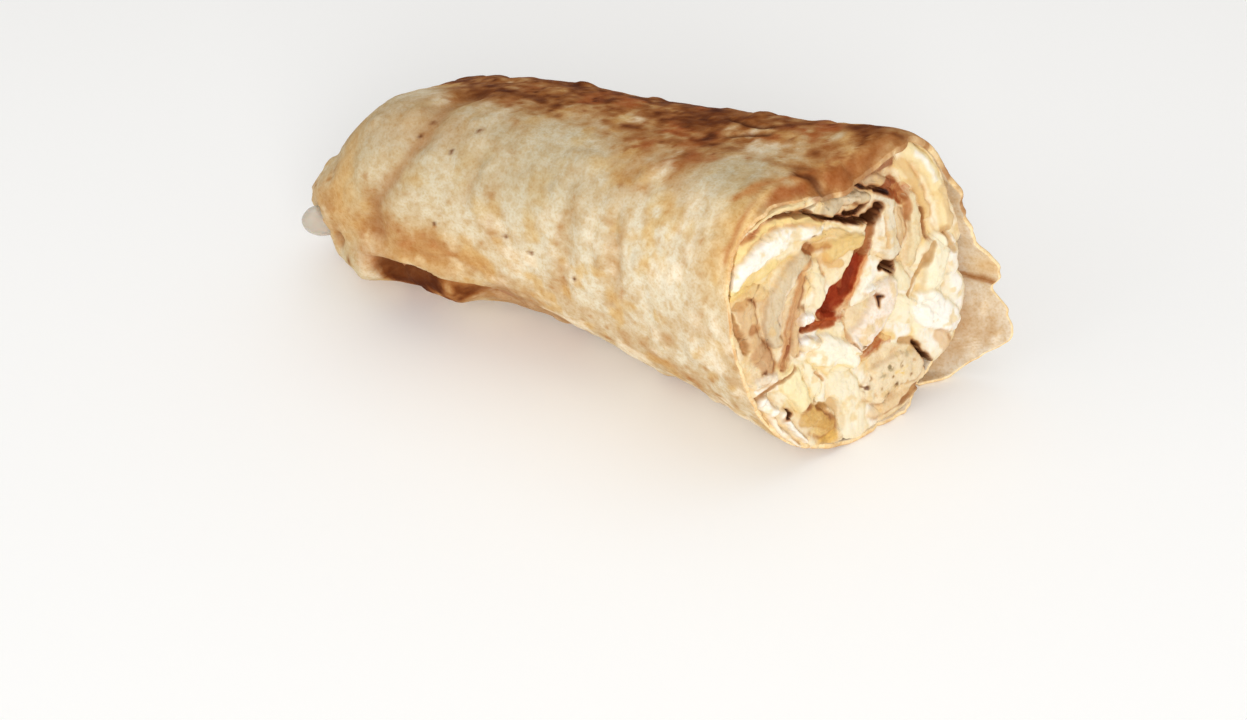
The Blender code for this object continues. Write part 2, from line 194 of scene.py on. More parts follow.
WHITE = linear(253, 250, 242)
CREAM = linear(250, 240, 214)
IVORY = linear(246, 228, 188)
YELLOW = linear(249, 222, 158)
GOLD = linear(238, 192, 104)
BEIGE = linear(232, 206, 166)
TAN = linear(216, 168, 116)
RUST = linear(176, 98, 52)
BROWN = linear(138, 78, 40)
DARK = linear(74, 36, 16)
RED = linear(112, 18, 3)
OLIVE = linear(186, 142, 70)


def shader_colour(colour):
    """A plain tuple is a screen colour; anything else is already as shaders use it."""
    return linear(*colour) if isinstance(colour, tuple) else colour


def blend(colour, other, amount):
    return colour + (shader_colour(other) - colour) * np.clip(amount, 0.0, 1.0)[..., None]


def stain(colour, other, amount):
    """Blend by multiplying, as dye does, so that half-way shades stay warm; used for tints and
    painted shade alike.
    """
    share = np.clip(amount, 0.0, 1.0)[..., None]
    return colour**(1 - share) * shader_colour(other)**share


def toast_colour(toast):
    """Colour of bread from uncooked, 0, to dark brown, 1."""
    places = (0.0, 0.2, 0.4, 0.6, 0.8, 1.0)
    shades = np.array([linear(220, 210, 186), linear(205, 183, 148), linear(187, 146, 98),
                       linear(156, 101, 55), linear(114, 61, 26), linear(80, 36, 12)])
    return np.stack([np.interp(toast, places, shades[:, k]) for k in range(3)], -1)


# --- making pieces -----------------------------------------------------------------------------

SHARP_ANGLE = 62.0
WELD = 0.002                   # mm within which points become one


class Build:
    """Gathers points, faces and colours for one mesh."""

    def __init__(self):
        self.points, self.colours, self.faces, self.count = [], [], [], 0

    def add(self, points, colours):
        flat = points.reshape(-1, 3)
        self.points.append(flat)
        self.colours.append(np.broadcast_to(colours, points.shape).reshape(-1, 3))
        indices = np.arange(self.count, self.count + len(flat)).reshape(points.shape[:-1])
        self.count += len(flat)
        return indices

    def skin(self, grid, closed=False, flip=False):
        """Quads over a grid of indices; closed joins its last column to its first."""
        if closed:
            grid = np.concatenate([grid, grid[:, :1]], 1)
        quads = np.stack([grid[:-1, :-1], grid[1:, :-1], grid[1:, 1:], grid[:-1, 1:]], -1)
        quads = quads.reshape(-1, 4)
        self.faces.extend((quads[:, ::-1] if flip else quads).tolist())

    def fan(self, ring, centre, flip=False):
        after = np.roll(ring, -1)
        sides = np.stack([ring, after, np.full_like(ring, centre)], -1)
        self.faces.extend((sides[:, ::-1] if flip else sides).tolist())

    def make(self, name, material):
        data = bpy.data.meshes.new(name)
        places = np.concatenate(self.points) + TO_ROW
        places[:, 2] = np.maximum(places[:, 2], 0.0)
        places = places * MM
        data.from_pydata(places.tolist(), [], self.faces)
        colours = np.concatenate(self.colours)
        layer = data.color_attributes.new("tint", "FLOAT_COLOR", "POINT")
        layer.data.foreach_set("color", np.column_stack([colours, np.ones(len(colours))]).ravel())
        data.validate()
        work = bmesh.new()
        work.from_mesh(data)
        bmesh.ops.remove_doubles(work, verts=work.verts, dist=MM * WELD)
        bmesh.ops.recalc_face_normals(work, faces=work.faces)
        work.to_mesh(data)
        work.free()
        data.shade_smooth()
        data.set_sharp_from_angle(angle=math.radians(SHARP_ANGLE))
        data.materials.append(material)
        piece = bpy.data.objects.new(name, data)
        bpy.context.scene.collection.objects.link(piece)
        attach(piece, "root")
        return piece


# --- materials ---------------------------------------------------------------------------------

SCATTER_RADIUS = (0.9, 0.5, 0.25)
SCATTER_DEPTH = 0.6


def set_inputs(node, values):
    for name, value in values.items():
        node.inputs[name].default_value = value


def new_material(name):
    material = bpy.data.materials.new(name)
    material.use_nodes = True
    return material, material.node_tree, material.node_tree.nodes["Principled BSDF"]


def node_noise(tree, scale, detail):
    where = tree.nodes.new("ShaderNodeTexCoord")
    texture = tree.nodes.new("ShaderNodeTexNoise")
    set_inputs(texture, {"Scale": scale, "Detail": detail})
    tree.links.new(where.outputs["Object"], texture.inputs["Vector"])
    return texture.outputs["Fac"]


def node_range(tree, value, low, high, out_low, out_high):
    remap = tree.nodes.new("ShaderNodeMapRange")
    set_inputs(remap, {"From Min": low, "From Max": high, "To Min": out_low, "To Max": out_high})
    tree.links.new(value, remap.inputs["Value"])
    return remap.outputs["Result"]


def node_multiply(tree, amount, colour, shadow):
    mix = tree.nodes.new("ShaderNodeMix")
    mix.data_type = "RGBA"
    mix.blend_type = "MULTIPLY"
    inputs = {socket.identifier: socket for socket in mix.inputs}
    tree.links.new(amount, inputs["Factor_Float"])
    tree.links.new(colour, inputs["A_Color"])
    inputs["B_Color"].default_value = (*shadow, 1.0)
    return {socket.identifier: socket for socket in mix.outputs}["Result_Color"]


def node_bump(tree, height, depth):
    bump = tree.nodes.new("ShaderNodeBump")
    set_inputs(bump, {"Strength": 1.0, "Distance": depth * MM})
    tree.links.new(height, bump.inputs["Height"])
    return bump


def food_material(name, fine, fine_depth, coarse, coarse_depth, shadow, mottling, roughness,
                  subsurface, shine):
    """Tint of the mesh, broken up by noise at two scales, which also give the bump."""
    material, tree, shader = new_material(name)
    tint = tree.nodes.new("ShaderNodeVertexColor")
    tint.layer_name = "tint"
    fine_noise = node_noise(tree, fine, 4)
    coarse_noise = node_noise(tree, coarse, 3)
    colour = tint.outputs["Color"]
    for value, low, high in ((coarse_noise, 0.4, 0.7), (fine_noise, 0.45, 0.75)):
        amount = node_range(tree, value, low, high, 0.0, mottling)
        colour = node_multiply(tree, amount, colour, shadow)
    tree.links.new(colour, shader.inputs["Base Color"])
    gloss = node_range(tree, coarse_noise, 0.3, 0.7, roughness - 0.1, roughness + 0.1)
    tree.links.new(gloss, shader.inputs["Roughness"])
    coarse_bump = node_bump(tree, coarse_noise, coarse_depth)
    fine_bump = node_bump(tree, fine_noise, fine_depth)
    tree.links.new(coarse_bump.outputs["Normal"], fine_bump.inputs["Normal"])
    tree.links.new(fine_bump.outputs["Normal"], shader.inputs["Normal"])
    set_inputs(shader, {"Subsurface Weight": subsurface, "Subsurface Radius": SCATTER_RADIUS,
                        "Subsurface Scale": SCATTER_DEPTH * MM, "Specular IOR Level": shine})
    return material


# Looks of the materials: name, scale and depth in mm of the fine and the coarse noise, colour of
# the shadows, mottling, roughness, subsurface, shine
MATERIAL_LOOKS = {
    "bread": ("flatbread", 2000, 0.07, 620, 0.18, (0.84, 0.69, 0.48), 0.68, 0.75, 0.03, 0.06),
    "crumb": ("soft_bread", 2200, 0.05, 500, 0.12, (0.96, 0.87, 0.68), 0.3, 0.6, 0.06, 0.2),
    "chicken": ("cooked_meat", 2200, 0.08, 600, 0.2, (0.90, 0.76, 0.58), 0.4, 0.5, 0.08, 0.22),
    "potato": ("potato", 2400, 0.05, 500, 0.12, (0.98, 0.90, 0.70), 0.3, 0.45, 0.08, 0.22),
    "pepper": ("pepper", 2000, 0.08, 500, 0.2, (0.80, 0.45, 0.3), 0.5, 0.6, 0.03, 0.08),
    "sauce": ("white_sauce", 1800, 0.05, 420, 0.14, (0.99, 0.94, 0.82), 0.3, 0.38, 0.08, 0.3),
    "pickle": ("pickle", 2200, 0.10, 500, 0.22, (0.76, 0.58, 0.36), 0.5, 0.5, 0.06, 0.22),
}
MATERIALS = {kind: food_material(*look) for kind, look in MATERIAL_LOOKS.items()}


# --- bread -------------------------------------------------------------------------------------

ROUND = 24.0                   # mean radius, for turning degrees into millimetres
FAR = 1e9                      # further than any place

# Toasted patches: distance, direction, half-length, half-width in mm, lean in degrees, toast
TOAST_PATCHES = (
    (34, 115, 9, 5.0, 20, 0.36), (9, 76, 7, 6, 0, 0.16),
    (42, 122, 4, 1.6, 10, 0.25), (43, 109, 4, 3, 0, 0.22), (30, 107, 5, 2.5, 0, 0.2),
    (12, 117, 4, 3, 60, 0.14), (2, 80, 5, 6, 0, 0.08),
    (41, 74, 7, 6, 0, 0.12), (31, 92, 6, 3, 0, 0.14),
    (58, 84, 14, 4, 0, 0.14), (80, 98, 12, 5, 0, 0.26), (92, 95, 6, 6, 0, 0.22),
    (51, 165, 1.6, 9, 0, 0.20), (50, 141, 1.3, 7, 4, 0.18), (39, 150, 1.5, 6, -6, 0.24),
    (53, 176, 3, 5, 0, 0.12), (84, 181, 10, 6, 0, 0.36), (94, 184, 7, 6, 0, 0.24),
    (72, 184, 6, 4, 0, 0.18), (104, 168, 7, 8, 0, 0.16), (113, 152, 5, 9, 0, 0.14),
    (109, 130, 3, 8, 0, 0.14), (96, 156, 2.4, 7, 30, 0.28), (90, 134, 2.2, 7, 10, 0.12),
    (100, 166, 5, 6, 0, 0.16), (89, 124, 2.0, 8, 0, 0.10),
    (66, 196, 7, 3, 0, 0.16), (36, 196, 10, 4, 0, 0.14), (22, 206, 9, 5, 0, 0.14),
    (10, 172, 4, 9, 0, 0.05), (10, 192, 4, 8, 0, 0.05),
    (27, 176, 2.5, 2.5, 0, 0.16), (84, 141, 3, 2, 0, 0.14), (75, 136, 2, 4, 0, 0.18),
    (20, 140, 4, 3, 0, 0.16), (62, 132, 5, 2, 0, 0.14), (68, 152, 1.6, 7, 0, 0.14),
)
# Floury patches that stay pale
PALE_PATCHES = (
    (23, 112, 5, 4, 10, 0.42), (18, 101, 6, 4, 0, 0.26), (52, 82, 6, 4, 0, 0.12),
    (30, 150, 6, 7, 0, 0.16), (34, 130, 5, 6, 0, 0.14), (56, 150, 5, 9, 0, 0.12),
    (85, 150, 5, 6, 0, 0.1), (36, 108, 3, 2, 0, 0.16), (57, 112, 4, 3, 0, 0.16),
    (6, 74, 9, 3, 0, 0.12), (20, 92, 6, 2, 0, 0.08), (45, 160, 3, 7, 0, 0.16),
    (76, 160, 5, 6, 0, 0.06), (100, 140, 3, 6, 0, 0.12), (110, 202, 4, 4, 0, 0.24),
)
# Creases pressed into the bread: (distance, direction) points, half-width, depth in mm
CREASES = (
    (((99, 176), (97.5, 157), (92, 143), (88.5, 128), (88, 112), (86, 98)), 2.6, 1.1),
    (((75, 148), (73.5, 138), (73.5, 130)), 1.5, 0.55),
    (((52, 133), (50.5, 144), (51, 160), (52, 178)), 1.6, 0.42),
    (((41, 137), (39.5, 150), (40, 162)), 1.4, 0.65),
    (((33, 160), (31, 172), (32, 186)), 1.4, 0.3),
    (((62, 176), (61, 186), (63, 200)), 1.5, 0.35),
    (((67, 150), (66, 160), (67, 172)), 1.6, 0.3),
    (((106, 128), (103, 140), (102, 152)), 1.5, 0.35),
    (((118, 110), (113, 125), (112, 138)), 1.3, 0.5),
    (((30, 87), (27, 83), (23, 81)), 0.5, 0.45),
    (((34, 74), (29, 77), (24, 76)), 0.45, 0.35),
    (((12, 99), (9, 97), (6, 98)), 0.5, 0.4),
    (((60, 20), (52, 34), (48, 50)), 1.5, 0.5),
    (((96, 30), (90, 46), (88, 62)), 1.8, 0.8),
    (((105, 330), (98, 345), (96, 5)), 1.8, 0.8),
    (((112, 60), (108, 74), (108, 90)), 1.4, 0.6),
)
CRACK_HALF = 1.0               # narrower creases are cracks, with a dark line in them
# Lobes and hollows of the bread: distance, direction, half-sizes in mm, height
LOBES = (
    (106.0, 206, 4.4, 6.5, 3.1), (85, 214, 5.5, 5.5, 2.8), (98.5, 210, 2.8, 6.0, -2.0),
    (114, 190, 1.6, 4.0, -1.2), (121, 192, 4.0, 5.5, -1.9),
    (113.5, 184, 2.2, 2.6, -2.2), (118, 150, 5, 8, 0.6), (107, 97, 9, 10, 1.5),
    (99, 113, 6, 9, 0.8), (94, 84, 8, 8, -0.8), (70, 206, 5, 5, -0.9),
    (110, 60, 7, 9, 0.8), (106, 0, 7, 9, 0.9), (112, 320, 6, 8, 0.8), (103, 30, 4, 4, -0.7),
    (100, 345, 4, 4, -0.6), (64, 221, 9, 8, -2.4), (75, 222, 6, 7, -2.0), (51, 226, 8, 7, -1.0),
    (3, 62, 10, 11, 1.0),
    (54, 84, 10, 7, 0.7), (78, 117, 1.3, 1.1, 0.55),
)
# The tuck of the folded end, which hangs over the recess below it: its edge as directions at
# distances, the depth of the recess at the same distances, and over which distances below the
# edge it starts and fades
TUCK_DISTANCES = (60.0, 68.0, 75.0, 85.0, 91.0, 98.0, 104.0, 112.0)
TUCK_EDGE = (226.0, 212.0, 201.0, 199.0, 194.0, 194.0, 191.0, 184.0)
TUCK_DEPTHS = (0.0, 0.1, 0.6, 1.4, 2.3, 2.6, 0.9, 0.0)
TUCK_STEP = (-0.2, 1.2)
TUCK_FADE = (4.0, 12.0)
# The toasted band along the top: distances with the direction of its near edge, and distances
# with its toast
BAND_EDGE = ((0, 15, 35, 55, 70, 85, 95, 105), (116, 114, 117, 113, 109, 106, 98, 82))
BAND_TOAST = ((0, 20, 45, 60, 90, 104, 120), (0.34, 0.36, 0.44, 0.42, 0.44, 0.36, 0.2))
BAND_CREST, BAND_MIDDLE, BAND_BACK = 64.0, 70.0, 12.0
# Small dark specks: distance, direction
DARK_SPECKS = ((66, 160), (83, 163), (88, 119), (76, 121), (80, 131), (60, 164), (89, 126),
               (49, 168))
SPECK_SIZES = (0.42, 0.36)
# Browned lines where the bread's outer layer has torn beside the cut
TORN_LINE = ((15.0, 138), (14.8, 128), (13.6, 120), (12.6, 113), (10.8, 107), (9.2, 102))
SECOND_LINE = ((18.0, 119), (15.2, 111), (12.2, 103), (10.4, 98), (9.0, 92))
# Tints of the bread, some of them painted shade: colour, strength, most that their places add up
# to, and the places as distance, direction, half-sizes in mm and weight. The broad ones: a greyer
# cast, golden patches, golden stripes, and painted shade beside the big fold
BROAD_STAINS = (
    ((176, 164, 136), 0.6, 1.2, ((21, 110, 8, 6, 1), (66, 128, 22, 10, 1.1),
                                 (97, 134, 14, 15, 0.75), (109, 120, 9, 12, 0.7))),
    ((206, 166, 108), 0.55, 1, ((108, 164, 9, 12, 1), (86, 184, 12, 7, 1))),
    ((208, 166, 108), 0.5, 1, ((105.5, 130, 2.6, 9, 1), (108.5, 152, 2.6, 7, 1))),
    ((182, 154, 120), 0.5, 1, ((93, 122, 9, 5, 1), (83, 122, 6, 4, 0.7))),
)
# By the pale lobe: painted shade of a small crease, then a greyish tan patch near the tuck's edge
LOBE_STAINS = (
    ((130, 84, 48), 0.8, 1, ((110, 199, 0.7, 1.6, 1),)),
    ((196, 158, 128), 0.5, 1, ((102, 194, 5, 4, 1),)),
)
RIM_STAINS = (((222, 170, 96), 0.35, 1, ((16, 132, 4, 8, 1),)),)


def spot(distance, angle, middle, half_sizes, lean=0.0):
    """1 at a place on the bread, falling to 0 round it."""
    along = distance - middle[0]
    around = np.radians(turn_from(angle, middle[1])) * ROUND
    c, s = math.cos(math.radians(lean)), math.sin(math.radians(lean))
    first = (along * c + around * s) / half_sizes[0]
    second = (around * c - along * s) / half_sizes[1]
    return np.exp(-first * first - second * second)


def line_distance(distance, angle, points):
    """Distance in mm on the bread from a line through points."""
    nearest = np.full(np.shape(distance), FAR)
    for (d0, a0), (d1, a1) in zip(points, points[1:]):
        step = np.array([d1 - d0, math.radians(float(turn_from(a1, a0))) * ROUND])
        offset_along = distance - d0
        offset_around = np.radians(turn_from(angle, a0)) * ROUND
        t = (offset_along * step[0] + offset_around * step[1]) / (step @ step)
        t = np.clip(t, 0.0, 1.0)
        gap = np.hypot(offset_along - t * step[0], offset_around - t * step[1])
        nearest = np.minimum(nearest, gap)
    return nearest


def round_places(distance, angle):
    """Places in space for noise that has no seam round the wrap."""
    radians = np.radians(angle)
    return np.stack([distance + 0 * radians, ROUND * np.cos(radians), ROUND * np.sin(radians)], -1)


def below_tuck(distance, angle):
    """Distance in mm below the edge of the tuck."""
    edge = np.interp(distance, TUCK_DISTANCES, TUCK_EDGE)
    return np.radians(turn_from(angle, edge)) * ROUND


def bread_relief(distance, angle):
    """Height in mm of the bread's outer face over its plain form."""
    places = round_places(distance, angle)
    quiet = smooth_step(distance, -2.0, 8.0)
    height = 0.55 * noise(places, 22, 1) + 0.32 * noise(places, 9, 2, 2)
    height = height + 0.16 * noise(places, 3.2, 3, 2) + 0.07 * noise(places, 1.1, 4, 2)
    height = height * (0.45 + 0.55 * quiet)
    wobble = 1.2 * noise(places, 7, 5, 2)
    for points, half, depth in CREASES:
        gap = line_distance(distance + wobble, angle, points)
        height = height - depth * bell(gap, half)
        height = height + 0.3 * depth * bell(gap - 2.2 * half, 1.2 * half)
    below = below_tuck(distance + 0.8 * wobble, angle)
    recess = np.interp(distance, TUCK_DISTANCES, TUCK_DEPTHS)
    height = height - recess * smooth_step(below, *TUCK_STEP) * (1 - smooth_step(below, *TUCK_FADE))
    height = height + 0.25 * recess * bell(below + 1.8, 1.5)
    for d, a, long, wide, rise in LOBES:
        height = height + rise * spot(distance + wobble, angle, (d, a), (long, wide))
    gather = smooth_step(distance, 104, 120) * (1 - 0.8 * smooth_step(distance, 120, 127))
    height = height + 0.6 * gather * np.cos(np.radians(7 * angle) + 0.12 * distance)
    height = height + 0.15 * gather * np.cos(np.radians(17 * angle) - 0.2 * distance)
    blister = np.maximum(noise(places, 4.2, 6) - 0.45, 0.0)
    return height + 1.1 * blister * smooth_step(distance, 4, 14)


def bread_toast(distance, angle):
    """Toast, 0 to 1, of the bread's outer face; below the tuck it also carries painted shade."""
    places = round_places(distance, angle)
    wobble = 3.0 * noise(places, 11, 11, 3) + 1.1 * noise(places, 2.6, 12, 2)
    swing = 3.0 * noise(places, 12, 13, 3) + 1.1 * noise(places, 2.8, 14, 2)
    near = np.interp(distance, *BAND_EDGE)
    level = np.interp(distance, *BAND_TOAST)
    crest = 0.22 * bell(turn_from(angle, BAND_CREST), 14.0) * smooth_step(distance, 12, 40)
    streaks = noise(places * np.array([0.3, 1.0, 1.0]), 3.2, 19, 3) + 0.7 * noise(places, 2.4, 20, 2)
    around = turn_from(angle, BAND_MIDDLE) + BAND_MIDDLE
    into = (near - around) * math.radians(1) * ROUND + 1.6 * swing
    behind = (around - BAND_BACK) * math.radians(1) * ROUND + 1.6 * swing
    band = smooth_step(into, -1.5, 7.5) * smooth_step(behind, -5.0, 9.0)
    toast = 0.10 + band * (level + crest + 0.30 * streaks)
    toast = toast + 0.16 * noise(places, 7, 15, 3) + 0.20 * noise(places, 2.4, 16, 3)
    toast = toast + 0.16 * band * noise(places, 1.1, 42, 2)
    for sign, patches in ((1, TOAST_PATCHES), (-1, PALE_PATCHES)):
        for d, a, long, wide, lean, amount in patches:
            place = spot(distance + wobble, angle + 1.5 * swing, (d, a), (long, wide), lean)
            toast = toast + sign * amount * place
    below = below_tuck(distance + 0.8 * wobble, angle)
    # Below the tuck's edge the bread goes dark: partly browned bread, partly painted shade of the
    # recess.
    burnt = 2.0 * spot(distance + 0.5 * wobble, angle, (97, 206), (7.0, 9))
    burnt = burnt + (0.55 + 0.6 * noise(places, 4, 38, 3)) * spot(distance, angle, (82, 211), (9, 6))
    inward = smooth_step(below, -0.5, 0.9) * (1 - smooth_step(distance, 100.5, 104.5))
    toast = toast + 0.95 * np.clip(burnt, 0, 1) * inward
    foot = smooth_step(np.cos(np.radians(angle - 268)), 0.72, 0.97)
    toast = toast + foot * (0.20 + 0.28 * noise(places, 6, 17, 3))
    toast = toast + 0.10 * smooth_step(distance, 96, 112) + 0.07 * (1 - smooth_step(distance, 3, 15))
    toast = toast - 0.25 * (1 - smooth_step(distance, -22, -6))
    freckle = np.maximum(noise(places, 1.3, 18) - 0.5, 0.0)
    return np.clip(toast + 0.5 * freckle, 0.0, 1.0)


def stain_places(colour, distance, angle, stains):
    for paint, strength, most, marks in stains:
        total = sum(weight * spot(distance, angle, (d, a), (long, wide))
                    for d, a, long, wide, weight in marks)
        colour = stain(colour, paint, strength * np.clip(total, 0, most))
    return colour


def bread_colour(distance, angle, toast, relief):
    places = round_places(distance, angle)
    colour = toast_colour(toast)
    ruddy = smooth_step(noise(places, 7, 21, 3), 0.05, 0.5) * smooth_step(toast, 0.35, 0.6)
    colour = blend(colour, (176, 92, 46), 0.5 * ruddy * (1 - smooth_step(toast, 0.75, 1.0)))
    flour = smooth_step(noise(places, 5, 22, 4), 0.05, 0.5) * (1 - smooth_step(toast, 0.28, 0.52))
    colour = blend(colour, (243, 231, 207), 0.68 * flour)
    golden = smooth_step(noise(places, 4, 23, 3), 0.1, 0.5) * (1 - smooth_step(toast, 0.4, 0.7))
    colour = stain(colour, (208, 160, 92), 0.45 * golden * (1 - 0.8 * flour))
    tan = smooth_step(noise(places, 1.5, 24, 3), 0.2, 0.6)
    colour = stain(colour, (180, 132, 82), 0.20 * tan)
    colour = stain_places(colour, distance, angle, BROAD_STAINS)
    # Painted shade along the big fold near the folded end.
    folded = line_distance(distance, angle, CREASES[0][0]) + 0.9 * noise(places, 2.4, 43, 2)
    colour = stain(colour, (172, 140, 104), 0.5 * bell(folded, 1.3))
    lobe = spot(distance, angle, (109, 201), (5, 7.5)) * (1 - smooth_step(toast, 0.5, 0.8))
    colour = blend(colour, (200, 186, 150), 0.8 * lobe)
    colour = stain_places(colour, distance, angle, LOBE_STAINS)
    torn = line_distance(distance, angle, TORN_LINE) + 0.8 * noise(places, 2.0, 34, 2)
    colour = stain(colour, (146, 72, 32), 0.7 * bell(torn, 0.7))
    second = line_distance(distance, angle, SECOND_LINE) + 0.8 * noise(places, 2.0, 40, 2)
    colour = stain(colour, (170, 100, 50), 0.6 * bell(second, 0.7))
    layer = spot(distance, angle, (13.6, 128), (0.8, 8))
    colour = blend(colour, (240, 214, 160), 0.9 * layer)
    colour = stain_places(colour, distance, angle, RIM_STAINS)
    for d, a in DARK_SPECKS:
        colour = stain(colour, DARK, 0.8 * spot(distance, angle, (d, a), SPECK_SIZES))
    for points, half, _ in CREASES:
        if half < CRACK_HALF:
            gap = line_distance(distance, angle, points) + 0.3 * noise(places, 2.0, 39, 2)
            colour = stain(colour, DARK, 0.75 * bell(gap, 0.45))
    # Painted shade: where the relief sinks below the plain form, the bread is darkened.
    hollow = smooth_step(-relief, 0.35, 1.6)
    return stain(colour, (150, 100, 60), 0.4 * hollow)


def flap_colour(colour, angle, behind, places):
    """Inner face of the loose edge: golden nub, painted shade of a crease, pale corner and tan
    middle.
    """
    angle = angle + 4.0 * noise(places, 4.0, 36, 2)
    near = 1 - smooth_step(behind, 2.5, 7.0)
    nub = bell(angle + 2.0, 6.0) * near
    # Painted shade of a crease across the flap.
    crease = bell(angle + 10.0, 1.6) * (1 - smooth_step(behind, 5.0, 9.0))
    corner = bell(angle + 20.0, 7.0) * near
    middle = bell(angle + 36.0, 15.0) * smooth_step(behind, 0.6, 4.0)
    foot = bell(angle + 60.0, 8.0)
    upper = smooth_step(angle, 14.0, 26.0) * (1 - smooth_step(angle, 60.0, 80.0))
    colour = blend(colour, (217, 204, 184), np.full(angle.shape, 0.8))
    colour = stain(colour, (220, 180, 126), 0.6 * nub)
    colour = blend(colour, (226, 212, 190), 0.8 * corner)
    colour = stain(colour, (198, 168, 132), 0.8 * middle)
    colour = stain(colour, (226, 190, 140), 0.4 * foot)
    colour = stain(colour, (188, 166, 136), 0.6 * upper)
    streaks = noise(places * np.array([1.0, 0.35, 0.35]), 1.6, 37, 3)
    colour = blend(colour, (240, 226, 202), 0.6 * smooth_step(streaks, 0.15, 0.6))
    return stain(colour, (150, 98, 56), 0.85 * crease)


def flare(angle, behind_cut):
    near_edge = 1 - smooth_step(angle, ROLL_START, ROLL_START + FLARE_SPREAD)
    near_cut = 1 - smooth_step(behind_cut, 0.0, FLARE_LENGTH)
    return FLARE_REACH * near_edge * near_cut


def flap_reach(angle):
    return sum(reach * bell(angle - middle, spread) for middle, spread, reach in FLAP_LOBES)


def turn_depth(angle, distance):
    """Depth of the sheet's outer face: it dips under its own loose edge, but not at the fold."""
    outer = TURN_PITCH * smooth_step(angle, *SEAM_RAMP) * (1 - smooth_step(distance, 94, 108))
    inner_turn = smooth_step(angle, *DIP_RAMP)
    return outer + inner_turn * (TURN_PITCH - outer + 2.4 * smooth_step(distance, 8, 24))


FRONT_FADE = 60.0              # mm behind the cut at which its slant is taken up
# How far the inner turn ends behind the cut, by direction
INNER_SETBACK = ((-60, 0, 60, 92, 104, 132, 150, 190, 204, 234),
                 (1.5, 2.6, 1.8, 3.0, 0.7, 0.5, 2.4, 2.0, 0.2, 0.2))


def front_of(angle, depth):
    """Distance at which the sheet ends: at the cut, torn, and further out at its flap and top."""
    places = round_places(0 * angle, angle)
    ragged = 0.45 * noise(places, 3.0, 25, 3) + 0.2 * noise(places, 0.9, 26)
    outer_turn = 1 - smooth_step(angle, *FRONT_RAMP)
    loose = 1 - smooth_step(angle, -10.0, 40.0)
    torn = loose * (1.1 * noise(places, 5.0, 27, 2) + 0.5 * noise(places, 1.6, 28))
    over = 2.3 * bell(turn_from(angle, 84.0), 26.0)
    over = (over + 1.4 * bell(turn_from(angle, 70.0), 12.0)) * outer_turn
    curl = over * (1 + 0.8 * noise(places, 2.4, 29, 2))
    back = np.interp(angle - 360, *INNER_SETBACK) * (1 - outer_turn)
    return cut_distance(angle, depth) - flap_reach(angle) * outer_turn + ragged + torn - curl + back


def sheet_places(angles, steps, depth_share, front):
    """Points of the sheet at steps behind its front edge, at a share of its thickness."""
    angle = np.broadcast_to(angles[:, None], (len(angles), len(steps)))
    step = np.broadcast_to(steps[None, :], angle.shape)
    distance = step + front[:, None] * (1 - smooth_step(step, 0.0, FRONT_FADE))
    distance = np.minimum(distance, TIP)
    lift = flare(angle, step)
    relief = bread_relief(distance, angle)
    outer_turn = 1 - smooth_step(angle, *THICKNESS_RAMP)
    near_top = bell(turn_from(angle, 92.0), 24.0)
    droop = 3.0 * near_top * (1 - smooth_step(step, -0.4, 4.6))**2 + 0.8 * (1 - outer_turn) * near_top
    thickness = SHEET + 4.0 * smooth_step(distance, 12, 30) * outer_turn
    depth = turn_depth(angle, distance) + thickness * depth_share - lift - relief + droop
    points = wrap_point(distance, angle, depth)
    points[..., 2] = np.maximum(points[..., 2], np.maximum(SHEET * depth_share, 0.0))
    return points, distance, angle, relief


RIM_SHARES = (0.0, 0.08, 0.3, 0.6, 0.88, 1.0)       # share of the thickness across the cut edge
RIM_BULGE = 0.35


